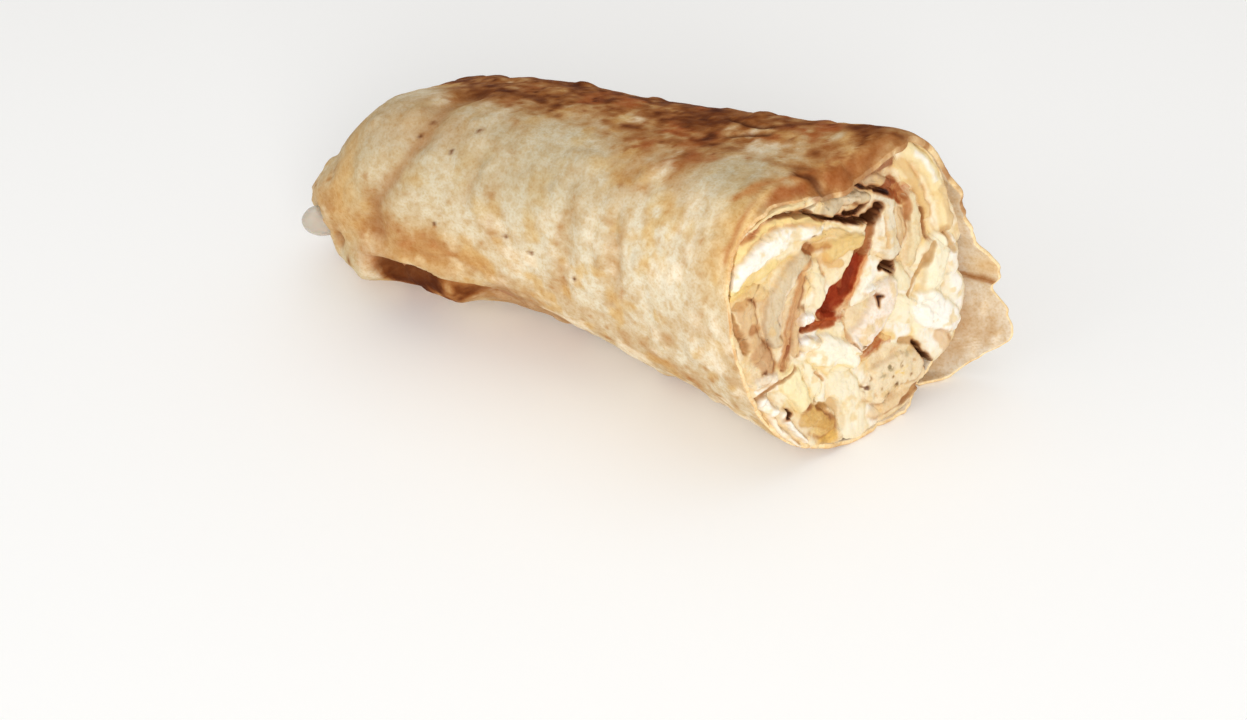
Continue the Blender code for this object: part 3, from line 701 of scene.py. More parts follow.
def bread_part(build, angles, outer_steps, inner_steps, back):
    """One stretch of the sheet: outer face, cut edge and inner face."""
    front = front_of(angles, TURN_PITCH * smooth_step(angles, *SEAM_RAMP))
    points, distance, angle, relief = sheet_places(angles, outer_steps, 0.0, front)
    toast = bread_toast(distance, angle)
    colours = bread_colour(distance, angle, toast, relief)
    behind = outer_steps[None, :]
    inner_turn = smooth_step(angle, *COLOUR_RAMP)
    colours = blend(colours, (238, 214, 170), inner_turn * 0.9)
    colours = blend(colours, (226, 188, 134), 0.25 * np.exp(-behind / 1.5) * (1 - toast))
    seared = bell(behind - 1.4, 1.0) * bell(turn_from(angle, 84.0), 9.0)
    colours = stain(colours, (156, 96, 54), 0.75 * seared)
    outer = build.add(points, colours)
    build.skin(outer)
    crumb = linear(244, 222, 178)
    rim_rows = [outer[:, 0]]
    for share in RIM_SHARES[1:-1]:
        forward = -RIM_BULGE * math.sin(math.pi * share)
        row, row_distance, row_angle, _ = sheet_places(angles, np.array([forward]), share, front)
        places = round_places(row_distance, row_angle)
        shade = blend(np.broadcast_to(crumb, row.shape), (214, 164, 108),
                      0.5 + 0.8 * noise(places, 2.0, 31, 2) - 0.9 * share)
        shade = blend(shade, colours[:, :1], 0.85 * smooth_step(toast[:, :1], 0.3, 0.6))
        rim_rows.append(build.add(row, shade)[:, 0])
    inner_points, inner_distance, inner_angle, _ = sheet_places(angles, inner_steps, 1.0, front)
    places = round_places(inner_distance, inner_angle)
    shade = blend(np.broadcast_to(linear(226, 204, 170), inner_points.shape), (200, 162, 120),
                  0.4 + 1.1 * noise(places, 6.0, 32, 3))
    shade = blend(shade, (238, 224, 196), smooth_step(noise(places, 4.5, 33, 3), 0.1, 0.6))
    shade = flap_colour(shade, inner_angle, inner_steps[None, :] * np.ones(shade.shape[:2]), places)
    # Painted shade: the inner face darkens deeper inside the roll.
    deep = smooth_step(inner_steps, 5.0, 14.0)[None, :] * np.ones(shade.shape[:2])
    shade = blend(shade, (176, 122, 74), 0.7 * deep)
    inner = build.add(inner_points, shade)
    build.skin(inner, flip=True)
    rim_rows.append(inner[:, 0])
    build.skin(np.stack(rim_rows, 1), flip=True)
    for column, flip in ((0, True), (-1, False)):
        edge_strip(build, outer[column], inner[column], [row[column] for row in rim_rows], flip)
    if back:
        build.skin(np.stack([outer[:, -1], inner[:, -1]], 1))
    return outer


def edge_strip(build, outer, inner, rim, flip):
    """Face along a loose edge of the sheet, as one strip of triangles between two rows."""
    first, second = list(outer), [rim[k] for k in range(1, len(rim) - 1)] + list(inner)
    i = j = 0
    faces = []
    while i < len(first) - 1 or j < len(second) - 1:
        if j == len(second) - 1 or (i < len(first) - 1 and i * len(second) <= j * len(first)):
            faces.append((first[i], first[i + 1], second[j]))
            i += 1
        else:
            faces.append((first[i], second[j + 1], second[j]))
            j += 1
    build.faces.extend([tuple(int(k) for k in (face[::-1] if flip else face)) for face in faces])


TIP_DIP = np.array([1.5, 0.0, 0.0])     # how far the gathered tip is drawn in
OUTER_TURN_END, INNER_TURN_START = 297.5, 296.5
OUTER_STEP, INNER_STEP = 1.1, 1.4       # degrees between the rows of the mesh


def make_bread():
    build = Build()
    fine = np.concatenate([np.arange(0, 3, 0.4), np.arange(3, 20, 0.6), np.arange(20, TIP, 0.75),
                           [TIP]])
    hidden = np.concatenate([np.arange(0, 6, 0.7), np.arange(6, 20, 1.6), np.arange(20, 112, 12)])
    outer_turn = np.arange(ROLL_START, OUTER_TURN_END, OUTER_STEP)
    outer = bread_part(build, outer_turn, fine, hidden, back=False)
    pucker = wrap_point(np.array([TIP]), np.array([0.0]), section_value(HALF_WIDTH, TIP)) + TIP_DIP
    colour = toast_colour(np.array([0.6]))
    build.fan(outer[:, -1], int(build.add(pucker, colour)[0]))
    near = np.concatenate([np.arange(0, 5, 0.5), np.arange(5, 20, 1.5), np.arange(20, 50, 6)])
    inner_turn = np.arange(INNER_TURN_START, ROLL_END + 0.1, INNER_STEP)
    bread_part(build, inner_turn, near, near, back=True)
    piece = build.make("flatbread", MATERIALS["bread"])
    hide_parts("bread")


# --- filling -----------------------------------------------------------------------------------

# Pieces of the filling: their sections on the cut in mm, as in the solids, with the middle as
# (across, up) and the tilt in degrees, and how far they stand out of the cut
Piece = namedtuple("Piece", "name kind middle length thickness tilt bow proud")
FILLING = [Piece(*row) for row in (
    ("potato_top", "potato", (-16.6, 18.9), 21.5, 5.8, 3, 0.8, 0.5),
    ("potato_wedge", "potato", (-14.0, 24.3), 12.0, 1.4, 0, 0.5, -0.6),
    ("potato_rind", "potato", (-4.2, 19.4), 16.0, 1.6, -33, 0.5, 0.0),
    ("potato_middle", "potato", (-3.0, 12.2), 13.0, 7.2, -14, 0.4, 0.0),
    ("chicken_curl", "chicken", (1.8, 21.8), 10.0, 6.0, -10, 0.6, -0.6),
    ("chicken_upper", "chicken", (9.0, 22.6), 10.0, 5.0, -24, 0.4, -0.7),
    ("pepper_upper", "pepper", (13.0, 18.2), 7.5, 2.8, -52, 0.3, -0.9),
    ("chicken_centre", "chicken", (9.4, 12.4), 12.5, 5.8, 82, -0.5, 0.3),
    ("bread_strip", "bread", (19.0, 15.6), 24.0, 3.2, -70, 1.6, 0.5),
    ("chicken_edge", "chicken", (15.4, 10.0), 15.0, 3.4, -86, 0.6, -0.3),
    ("pickle_bit", "pickle", (-8.9, 15.6), 4.2, 2.2, -50, 0.0, -0.5),
    ("chicken_left", "chicken", (-16.4, 8.2), 17.0, 5.4, 64, 0.9, 0.2),
    ("chicken_left_outer", "chicken", (-21.6, 5.6), 14.0, 3.6, 74, 0.6, -0.1),
    ("chicken_left_rim", "chicken", (-24.2, 10.0), 9.0, 2.4, 80, 0.3, -0.1),
    ("chicken_left_inner", "chicken", (-13.2, 3.4), 14.0, 2.8, 62, 0.5, -0.3),
    ("sauce_left", "sauce", (-8.6, 7.4), 9.5, 4.6, 72, 0.0, 0.0),
    ("pepper_long", "pepper", (-0.8, 7.0), 14.5, 3.6, 42, -0.4, 0.0),
    ("pepper_short", "pepper", (-8.4, 1.0), 8.0, 1.8, -4, 0.5, 0.0),
    ("sauce_dollop", "sauce", (-11.8, -1.4), 7.0, 3.4, 84, 0.0, 0.3),
    ("chicken_low_outer", "chicken", (-21.4, -2.4), 8.0, 4.0, 62, 0.3, -0.4),
    ("chicken_low_inner", "chicken", (-17.0, -3.0), 8.0, 2.6, 66, 0.3, -0.3),
    ("sauce_rim", "sauce", (-21.8, -6.8), 7.5, 3.0, 16, 0.0, 0.0),
    ("bread_crumb", "bread", (-21.4, -10.6), 6.0, 2.6, -50, 0.0, 0.0),
    ("bread_rib", "bread", (-16.6, -15.6), 12.0, 1.2, -54, -0.4, 0.0),
    ("potato_low_left", "potato", (-15.6, -10.0), 11.0, 5.0, -64, 0.0, 0.0),
    ("potato_low", "potato", (-5.6, -6.4), 12.0, 8.8, -22, 0.0, 0.6),
    ("sauce_wedge", "sauce", (-11.4, -11.4), 10.0, 4.2, -66, 0.0, 0.0),
    ("pickle_leaf", "pickle", (-10.6, -18.4), 9.0, 5.6, -28, 0.0, -0.3),
    ("sauce_low", "sauce", (-3.4, -17.2), 15.0, 10.0, -24, 0.0, 0.2),
    ("sauce_centre", "sauce", (4.0, 4.4), 9.0, 4.2, 50, 0.0, 0.0),
    ("chicken_oval", "chicken", (3.6, -2.8), 13.0, 7.6, 32, 0.3, 0.6),
    ("pepper_thin", "pepper", (3.8, -9.2), 9.5, 1.6, -4, 0.7, 0.0),
    ("sauce_bridge", "sauce", (11.8, -4.0), 15.0, 6.0, 58, 0.0, 0.0),
    ("potato_right", "potato", (18.4, 0.4), 13.0, 8.6, 74, 0.0, 0.5),
    ("sauce_right", "sauce", (18.6, -9.6), 13.0, 8.4, 62, 0.0, 0.6),
    ("chicken_speckled", "chicken", (6.8, -17.2), 14.5, 10.4, 16, 0.0, 0.4),
)]

# Looks of a kind: colour, second colour of its mottling, colour of its grain and of the painted
# shade in the cracks at its edge, strength of that shade, relief of its fibres, size of its lumps
KIND_LOOKS = {
    "bread": (IVORY, CREAM, TAN, 0.35, 0.08, 2.0),
    "chicken": (IVORY, BEIGE, TAN, 0.40, 0.12, 2.2),
    "potato": (CREAM, IVORY, GOLD, 0.30, 0.06, 2.6),
    "pepper": (RUST, BEIGE, TAN, 0.3, 0.12, 1.6),
    "sauce": (CREAM, WHITE, IVORY, 0.25, 0.06, 2.4),
    "pickle": (OLIVE, GOLD, BROWN, 0.4, 0.16, 1.4),
}

# Slices and strips seen on the cut: line through their middle as (across, up) places, half-width
# at its start and its end, rise, colour, strength, colour and strength of the painted shade along
# its edge. Strips with a rise below 0 sink and darken the colour; some are painted shadow lines
CUT_SLICES = (
    (((-26.4, 13.4), (-22.6, 13.2), (-20.2, 11.4)), 1.7, 1.2, 0.2, (234, 200, 140), 0.9, TAN, 0.5),
    (((-24.2, 10.4), (-24.2, 5.4), (-23.2, 1.0)), 1.9, 1.5, 0.4, (220, 184, 136), 0.9, BROWN, 0.7),
    (((-22.8, 0.8), (-21.6, -2.8)), 2.0, 1.7, 0.3, (202, 158, 112), 0.95, BROWN, 0.75),
    (((-10.6, 14.9), (-14.2, 13.5), (-17.6, 10.4), (-19.6, 6.2), (-19.4, 2.0)), 1.9, 1.6, 0.9,
     (218, 200, 168), 0.95, BROWN, 0.85),
    (((-13.6, 12.2), (-16.8, 8.6), (-17.9, 3.6)), 0.8, 0.6, 0.15, (240, 226, 200), 0.85, TAN, 0.35),
    (((-10.2, 13.4), (-12.6, 8.8), (-15.0, 4.2), (-16.8, 0.2), (-18.2, -3.6)), 1.2, 1.0, 0.2,
     (208, 152, 98), 0.95, BROWN, 0.85),
    (((-25.4, -8.6), (-24.6, -12.2)), 0.7, 0.6, -0.2, (206, 170, 124), 0.85, TAN, 0.0),
    (((-12.9, 5.0), (-14.4, 1.4), (-15.2, -2.8)), 0.9, 0.9, 0.5, (226, 194, 148), 0.95, BROWN, 0.6),
    (((-16.8, -0.6), (-18.5, -4.4)), 0.55, 0.4, -0.5, (150, 82, 46), 0.8, BROWN, 0.0),
    # painted shadow line at the left rim, along the bread's inner layer
    (((-27.5, 10.6), (-26.9, 6.8), (-25.8, 2.4)), 0.7, 0.6, -0.7, (176, 122, 72), 0.9, BROWN, 0.0),
    (((-27.0, 15.0), (-22.2, 15.4), (-17.2, 17.0)), 1.4, 0.9, 0.2, (242, 214, 142), 0.95, GOLD,
     0.5),
    (((-26.6, 17.6), (-20.2, 19.8), (-13.2, 20.9), (-6.8, 19.8)), 2.1, 1.8, 0.8, WHITE, 1.0,
     YELLOW, 0.5),
    (((-26.6, 20.2), (-21.4, 23.0), (-15.4, 23.7), (-10.2, 22.8), (-5.8, 20.6)), 0.9, 0.8, 0.3,
     (246, 218, 150), 1.0, TAN, 0.8),
    (((-20.5, 24.6), (-15.6, 26.0), (-9.2, 25.2)), 0.9, 0.8, 0.5, (240, 220, 172), 0.95, RUST, 0.6),
    (((-23.4, 23.2), (-17.6, 25.1), (-13.4, 24.7), (-9.4, 23.6)), 0.4, 0.35, -0.3, RUST, 0.7,
     BROWN, 0.0),
    (((-7.6, 17.8), (-3.6, 17.2), (-0.4, 15.8)), 0.8, 0.9, 0.3, (232, 196, 128), 0.9, TAN, 0.4),
    (((-4.0, 13.6), (-0.2, 14.0), (2.4, 13.2)), 2.3, 1.6, 0.6, (232, 196, 122), 0.95, TAN, 0.8),
    (((-6.4, 13.4), (-4.8, 11.4), (-2.2, 10.4)), 1.0, 0.8, 0.1, (226, 178, 102), 0.8, TAN, 0.3),
    (((-7.6, 16.0), (-5.0, 15.4)), 0.8, 0.6, -0.1, (206, 152, 86), 0.85, BROWN, 0.3),
    (((-9.0, 12.4), (-7.6, 8.6), (-8.6, 5.2)), 1.7, 1.4, 0.5, (246, 232, 196), 0.95, TAN, 0.55),
    (((-7.6, 12.8), (-6.4, 9.6)), 0.35, 0.3, -0.3, TAN, 0.7, TAN, 0.0),
    (((-3.4, 22.0), (-0.4, 22.8), (2.6, 22.1), (5.0, 20.4)), 1.8, 1.2, 0.9, (206, 188, 156), 0.95,
     BROWN, 0.7),
    (((0.6, 22.4), (3.2, 21.6)), 0.9, 0.6, 0.3, (228, 210, 178), 0.9, TAN, 0.3),
    (((5.4, 24.4), (8.2, 23.0), (10.6, 21.4)), 1.5, 1.1, 0.6, (206, 174, 134), 0.95, BROWN, 0.7),
    (((-5.6, 25.6), (-1.0, 25.8), (3.0, 26.2)), 1.3, 1.0, 0.4, (172, 110, 66), 0.9, BROWN, 0.5),
    (((3.4, 26.0), (8.0, 25.8), (12.0, 25.4)), 1.1, 1.2, 0.4, (158, 94, 52), 0.9, BROWN, 0.5),
    (((9.9, 18.6), (9.2, 14.6), (9.3, 10.6), (9.8, 8.2)), 2.2, 2.1, 0.9, (236, 226, 202), 0.98,
     (176, 130, 84), 0.6),
    (((7.6, 16.8), (7.0, 13.4), (7.3, 10.0)), 1.1, 1.0, 0.2, (248, 240, 218), 0.9, TAN, 0.15),
    (((8.5, 16.0), (8.3, 12.8), (8.6, 9.6)), 0.3, 0.3, -0.2, TAN, 0.5, TAN, 0.0),
    (((-8.4, -16.4), (-7.4, -19.0), (-6.8, -22.0)), 1.0, 0.8, -0.4, (206, 172, 122), 0.85, TAN,
     0.0),
    (((11.0, 16.8), (11.3, 13.6)), 0.3, 0.3, -0.2, TAN, 0.55, TAN, 0.0),
    (((13.0, 15.0), (13.4, 11.0), (12.2, 8.4)), 0.8, 0.9, 0.2, (216, 180, 130), 0.8, BROWN, 0.4),
    (((15.8, 16.8), (16.2, 12.0), (16.0, 7.6), (14.8, 4.4)), 1.4, 1.4, 0.8, (238, 222, 182), 0.95,
     TAN, 0.7),
    (((14.4, 24.6), (16.9, 20.6), (18.7, 16.2), (19.4, 11.6)), 1.1, 0.8, 0.2, (228, 190, 126), 0.9,
     TAN, 0.7),
    (((15.4, 27.2), (18.6, 23.8), (21.2, 19.2), (22.8, 14.0), (23.6, 8.6)), 1.6, 1.6, 0.9,
     (246, 226, 176), 1.0, GOLD, 0.5),
    (((17.0, 25.8), (19.6, 22.2), (21.4, 18.4)), 0.6, 0.5, 0.2, WHITE, 0.8, CREAM, 0.0),
    (((22.8, 16.0), (23.8, 12.0), (24.2, 8.4)), 1.0, 1.0, 0.0, (226, 194, 146), 0.8, TAN, 0.3),
    (((-17.4, -7.4), (-15.6, -11.0), (-14.8, -14.2)), 2.5, 1.8, 0.6, (250, 236, 190), 0.95, GOLD,
     0.5),
    (((-13.4, -6.4), (-11.8, -9.2), (-11.6, -12.2)), 1.1, 1.3, 0.4, (248, 238, 206), 0.9, GOLD,
     0.4),
    (((-9.6, -4.4), (-5.6, -6.2), (-2.8, -9.2)), 3.3, 2.2, 0.9, (253, 248, 230), 0.95, GOLD, 0.35),
    (((-6.0, -12.6), (-4.0, -18.0), (-4.2, -25.0)), 3.0, 3.6, 0.4, (246, 233, 200), 0.85, GOLD,
     0.3),
    (((-14.2, -16.8), (-11.6, -18.6), (-9.4, -21.2)), 2.2, 1.3, 0.4, (218, 174, 100), 0.95, BROWN,
     0.7),
    (((-13.4, -20.8), (-11.0, -22.0)), 1.0, 0.8, 0.3, (240, 208, 140), 0.9, BROWN, 0.4),
    (((-11.4, -16.0), (-9.8, -17.0)), 0.9, 0.7, -0.1, (168, 116, 56), 0.85, BROWN, 0.3),
    (((-24.8, -5.0), (-20.6, -5.3)), 1.2, 1.0, 0.6, (245, 233, 212), 1.0, TAN, 0.6),
    (((-23.8, -9.4), (-22.4, -11.8)), 1.3, 1.0, 0.9, WHITE, 1.0, TAN, 0.5),
    (((-25.0, -12.0), (-23.0, -16.0), (-19.6, -20.6)), 0.6, 0.5, 0.5, (238, 212, 164), 0.9, BROWN,
     0.4),
    (((-22.6, -13.4), (-20.6, -17.6), (-17.6, -21.6)), 0.7, 0.5, 0.8, (252, 242, 224), 1.0, TAN,
     0.5),
    (((-20.6, -12.8), (-18.6, -16.8), (-15.6, -21.6)), 0.6, 0.5, 0.9, WHITE, 1.0, TAN, 0.5),
    (((0.4, -5.8), (4.0, -2.8), (7.6, 0.4)), 3.4, 3.0, 1.3, (249, 238, 225), 1.0, (206, 168, 116),
     0.6),
    # painted highlight over the oval's upper notch
    (((3.2, 2.7), (5.2, 2.6)), 0.8, 0.6, 0.5, WHITE, 1.0, TAN, 0.4),
    (((-2.9, -0.2), (-2.9, -4.0), (-1.6, -7.4)), 0.35, 0.35, -0.5, TAN, 0.6, TAN, 0.0),
    (((10.6, 3.6), (12.6, 0.2)), 2.0, 1.6, 0.4, (241, 229, 192), 0.9, TAN, 0.4),
    (((10.0, -4.0), (13.0, -6.4), (15.6, -8.4)), 2.6, 2.2, 0.4, (248, 236, 202), 0.85, GOLD, 0.3),
    (((21.0, 4.4), (19.7, 0.2), (18.4, -3.4)), 2.9, 2.4, 1.2, (252, 244, 218), 1.0,
     (206, 168, 116), 0.7),
    (((24.6, 4.6), (25.2, -1.0), (25.0, -6.0)), 1.4, 1.6, 0.5, (252, 248, 238), 0.95, GOLD, 0.3),
    # painted tan shadow along the lower right side of the strip
    (((22.8, 8.0), (23.9, 4.6), (25.2, 2.2)), 0.8, 0.6, -0.3, (214, 176, 126), 0.9, TAN, 0.0),
    (((15.8, -18.6), (16.4, -21.0), (14.6, -23.4)), 0.9, 0.9, -0.6, (120, 68, 32), 0.95, BROWN,
     0.2),
    (((16.8, -6.6), (20.2, -9.6), (23.0, -12.4)), 3.8, 2.8, 0.9, (254, 251, 242), 1.0, GOLD, 0.25),
    (((19.8, -14.4), (21.6, -17.4)), 1.6, 1.2, 0.1, (228, 190, 140), 0.85, BROWN, 0.3),
    (((2.8, -17.8), (7.6, -16.6), (11.8, -17.6)), 4.2, 3.2, 0.9, (242, 225, 192), 0.95, BROWN,
     0.55),
    (((1.4, -23.6), (5.6, -23.8), (9.4, -22.8)), 1.4, 1.3, 0.3, (236, 206, 160), 0.8, BROWN, 0.4),
    (((-12.6, 3.4), (-11.0, 3.0)), 1.3, 1.0, 1.1, (255, 255, 252), 1.0, TAN, 0.4),
    (((-13.0, -1.6), (-11.0, -1.9)), 1.4, 1.1, 1.2, (255, 255, 252), 1.0, TAN, 0.4),
    (((3.6, 9.0), (1.6, 6.2), (-1.2, 3.2)), 0.9, 0.8, 0.0, (228, 158, 100), 0.8, RUST, 0.2),
    (((2.6, 10.6), (0.6, 8.0), (-1.6, 5.8), (-4.6, 4.2), (-6.2, 3.0)), 1.3, 2.5, -0.7, RED, 1.0,
     RUST, 0.35),
    (((-6.0, 3.4), (-5.6, 1.8)), 1.8, 1.4, -0.3, RED, 1.0, RUST, 0.2),
    (((0.4, 7.8), (-1.8, 5.2)), 1.0, 1.2, -0.3, (92, 16, 4), 0.85, RED, 0.0),
    (((-6.0, 4.0), (-5.8, 2.2)), 1.0, 1.0, -0.4, (92, 16, 4), 0.85, RED, 0.0),
    (((-12.0, 1.3), (-10.2, 1.1), (-8.2, 0.2), (-5.4, -0.3)), 1.0, 0.6, -0.5, (158, 54, 20), 1.0,
     RUST, 0.1),
    (((-12.3, 1.3), (-11.2, 1.2)), 0.7, 0.5, -0.4, (92, 22, 6), 0.95, RED, 0.0),
    (((-9.8, 16.9), (-8.6, 15.9)), 1.0, 0.8, -0.5, (166, 94, 50), 0.95, BROWN, 0.3),
    (((10.8, 21.0), (12.6, 19.4), (13.8, 17.4)), 1.8, 1.1, -0.2, (152, 80, 40), 0.95, BROWN, 0.4),
    (((14.2, 17.8), (14.9, 15.2), (14.5, 12.6)), 0.8, 0.5, -0.3, (190, 128, 78), 0.85, BROWN, 0.0),
    (((18.0, 13.6), (18.8, 10.4), (19.2, 7.2)), 0.4, 0.35, -0.6, BROWN, 0.75, BROWN, 0.0),
    (((19.6, 5.8), (16.4, 1.6), (13.0, -2.8)), 0.6, 0.5, -0.6, (198, 156, 104), 0.85, TAN, 0.0),
    (((-25.2, -8.0), (-20.6, -7.0), (-16.2, -5.5)), 0.45, 0.3, -0.5, (178, 122, 76), 0.8, BROWN,
     0.0),
    (((-11.4, -8.6), (-9.8, -10.7)), 0.35, 0.3, -0.4, TAN, 0.8, TAN, 0.0),
    (((-0.2, -9.2), (2.8, -8.7), (5.8, -7.9)), 0.7, 0.55, -0.5, (214, 158, 98), 0.95, BROWN, 0.2),
    (((9.8, -11.0), (12.4, -12.2), (13.8, -14.0)), 0.6, 0.7, -0.3, (208, 166, 114), 0.9, TAN, 0.1),
    (((6.0, -8.6), (8.4, -9.8)), 0.8, 0.6, 0.0, (240, 206, 138), 0.9, TAN, 0.3),
    (((5.8, 14.8), (4.8, 12.4), (3.4, 10.2)), 0.8, 0.7, -0.8, (160, 92, 48), 0.95, BROWN, 0.0),
    (((-24.0, 6.3), (-22.2, 6.0)), 0.8, 0.6, -0.2, (190, 136, 86), 0.8, BROWN, 0.1),
    (((-26.4, 12.0), (-24.4, 11.8)), 0.7, 0.5, -0.2, (204, 156, 98), 0.7, BROWN, 0.0),
    (((9.0, -24.2), (13.0, -22.9), (16.4, -22.8)), 1.0, 1.1, -0.6, (146, 92, 50), 0.95, BROWN, 0.3),
    (((-15.8, 25.2), (-12.2, 24.3), (-8.6, 23.0), (-5.6, 21.1)), 0.35, 0.5, -1.2, BROWN, 0.9,
     BROWN, 0.0),
)

# Dark gaps in the cut, sunk and painted dark as shade: line as (across, up) places,
# half-width at its start and end, depth
CUT_GAPS = (
    (((-5.8, 21.3), (-3.4, 20.0), (-1.4, 19.4)), 0.05, 0.4, 1.8),
    (((-1.4, 19.4), (0.8, 17.9), (3.8, 16.8)), 0.3, 0.4, 1.8),
    (((4.2, 17.0), (6.0, 16.8), (7.9, 18.5)), 0.6, 0.4, 4.0),
    (((6.3, 17.0), (6.0, 15.4)), 0.95, 0.4, 4.0),
    (((0.4, 19.4), (2.7, 18.7), (5.0, 19.4)), 0.3, 0.25, 1.2),
    (((2.0, 25.2), (4.8, 23.4), (7.4, 21.6), (9.8, 20.3)), 0.15, 0.25, 0.6),
    (((0.2, 27.0), (3.6, 26.8)), 0.2, 0.2, 0.8),
    (((7.0, 6.1), (9.0, 6.0), (10.4, 6.8)), 0.4, 0.35, 3.0),
    (((8.8, 5.8), (9.6, 3.9)), 0.7, 0.3, 2.6),
    (((4.0, -0.6), (4.7, 0.9)), 0.0, 0.05, 0.7),
    (((4.7, 0.9), (5.4, 0.6)), 0.05, 0.0, 0.6),
    (((13.4, -13.2), (14.4, -15.2)), 0.12, 0.4, 1.4),
    (((14.3, -15.0), (15.8, -18.2), (17.2, -20.6), (16.6, -23.2)), 0.5, 0.8, 3.4),
    (((-19.4, -13.9), (-18.2, -14.8)), 0.5, 0.2, 1.8),
    (((-5.2, 26.4), (-4.4, 25.8)), 0.2, 0.2, 0.8),
)

# Specks on the cut: across, up, size, colour
CUT_SPECKS = (
    (5.4, -14.8, 1.3, (150, 132, 96)), (3.8, -15.6, 0.9, (166, 146, 108)),
    (4.0, -21.2, 1.2, (160, 140, 104)), (6.9, -19.6, 0.8, (110, 86, 56)),
    (8.7, -17.0, 1.3, (240, 196, 104)), (7.0, -16.4, 0.8, (244, 206, 122)),
    (10.6, -14.4, 0.9, (168, 148, 112)), (2.6, -23.2, 1.1, (226, 176, 110)),
    (9.8, -20.2, 0.9, (222, 186, 134)), (1.6, -19.4, 0.9, (224, 190, 142)),
    (12.2, -16.4, 0.8, (204, 160, 108)), (5.6, -22.4, 0.8, (196, 150, 98)),
    (4.2, -20.8, 0.9, (112, 74, 40)), (6.8, -19.6, 0.6, (96, 62, 34)),
    (8.5, -15.3, 0.7, (110, 74, 42)), (-8.3, 18.7, 0.5, (90, 48, 22)),
    (-0.4, -16.6, 1.1, (98, 58, 28)), (-22.7, -3.7, 1.0, (104, 60, 32)),
    (0.9, -15.2, 0.6, (150, 108, 66)), (3.0, -18.6, 0.5, (140, 100, 60)),
    (10.9, -18.9, 0.6, (150, 104, 62)), (5.9, -17.4, 0.5, (134, 96, 58)),
)

GAP_COLOUR = linear(50, 18, 5)
CUT_SHADE = np.array([0.86, 0.845, 0.83])
SHADE_SIDE = (0.8, -0.6)
SLICE_SOFTNESS = 0.28
SLICE_EDGE = 0.42
SLICE_RISE = 1.4
EDGE_RADIUS = 0.32
EDGE_DROP = 0.34
CAP_RINGS, CAP_CROWDING = 30, 1.25     # rings from a piece's outline inwards, closer at its edge
OUTLINE_STEP = 0.40
OUTWARD_STEPS = 110
VISUAL_GAP = -0.15             # between pieces at the cut: below 0, so that they overlap
NEIGHBOUR = 23.0               # distance between the middles of pieces that can touch
SPREAD = 4.0                   # how far a piece may spread past its listed size
# Painted shade on the side of a piece, darkest at this depth behind the cut
DARKENING = 2.8                # mm behind the cut at which a piece's side is at its darkest
SIDE_STEPS = (0.3, 0.8, 1.6, 2.8, 4.5)     # mm behind the cut at which a piece's side has a row

# Depth at which the filling stops under the bread's outer face, by direction on the cut
SKIN_DEPTH = ((-90, -80, -68, -55, -30, -15, 0, 30, 48, 60, 75, 92, 110, 122, 135, 180, 235, 270),
              (0.1, -0.5, -1.5, -2.2, -2.6, -2.0, -0.7, 0.2, -0.3, 0.1, 1.9, 3.6, 2.8, 1.7, 0.6,
               0.2, 0.1, 0.1))


def spine_points(piece):
    tilt = math.radians(piece.tilt)
    along = np.array([math.cos(tilt), math.sin(tilt)])
    side = np.array([-along[1], along[0]])
    reach = (piece.length - piece.thickness) / 2
    return np.array([piece.middle + along * reach * t + side * piece.bow * (1 - t * t)
                     for t in np.linspace(-1, 1, 2 * SPINE_HALF + 1)])


def outside_by(spine, thickness, points):
    start, step = spine[:-1], np.diff(spine, axis=0)
    offset = points[..., None, :] - start
    share = np.clip((offset * step).sum(-1) / (step * step).sum(-1), 0.0, 1.0)
    nearest = np.linalg.norm(offset - step * share[..., None], axis=-1).min(-1)
    return nearest - thickness / 2 - FILLING_SWELL


def plane_point(places):
    return CUT_MIDDLE + places[..., :1] * CUT_ACROSS + places[..., 1:] * CUT_UP


def section_place(points):
    distance = -points[..., 0]
    a = (points[..., 1] - section_value(SIDE_SHIFT, distance)) / section_value(HALF_WIDTH, distance)
    b = points[..., 2] - section_value(CENTRE_HEIGHT, distance)
    return distance, a, b / section_value(HALF_HEIGHT, distance)


def filling_reach(distance, angle, depth=FILLING_DEPTH):
    return outline_scale(distance, angle) * (1 - depth / section_value(HALF_HEIGHT, distance))


def inside_bread(places):
    distance, a, b = section_place(plane_point(places))
    angle = np.degrees(np.arctan2(b, a))
    direction = np.degrees(np.arctan2(places[..., 1], places[..., 0]))
    depth = np.interp((direction + 90.0) % 360.0 - 90.0, *SKIN_DEPTH)
    return np.hypot(a, b) < filling_reach(distance, angle, depth)


def belongs(index, places, spines):
    """True where a piece is nearer than its neighbours; borders wander like torn food."""
    kept = inside_bread(places)
    flat = flat_places(places[..., 0], places[..., 1])
    shift = 0.9 * noise(flat, 3.6, 50, 2) + 0.25 * noise(flat, 1.1, 51)
    lift = 0.9 * noise(flat, 3.6, 52, 2) + 0.25 * noise(flat, 1.1, 53)
    places = places + np.stack([shift, lift], -1)
    own = outside_by(spines[index], FILLING[index].thickness, places)
    for other, spine in enumerate(spines):
        apart = np.linalg.norm(spine[SPINE_HALF] - spines[index][SPINE_HALF])
        if other != index and apart < NEIGHBOUR:
            kept &= own < outside_by(spine, FILLING[other].thickness, places) - VISUAL_GAP
    return kept


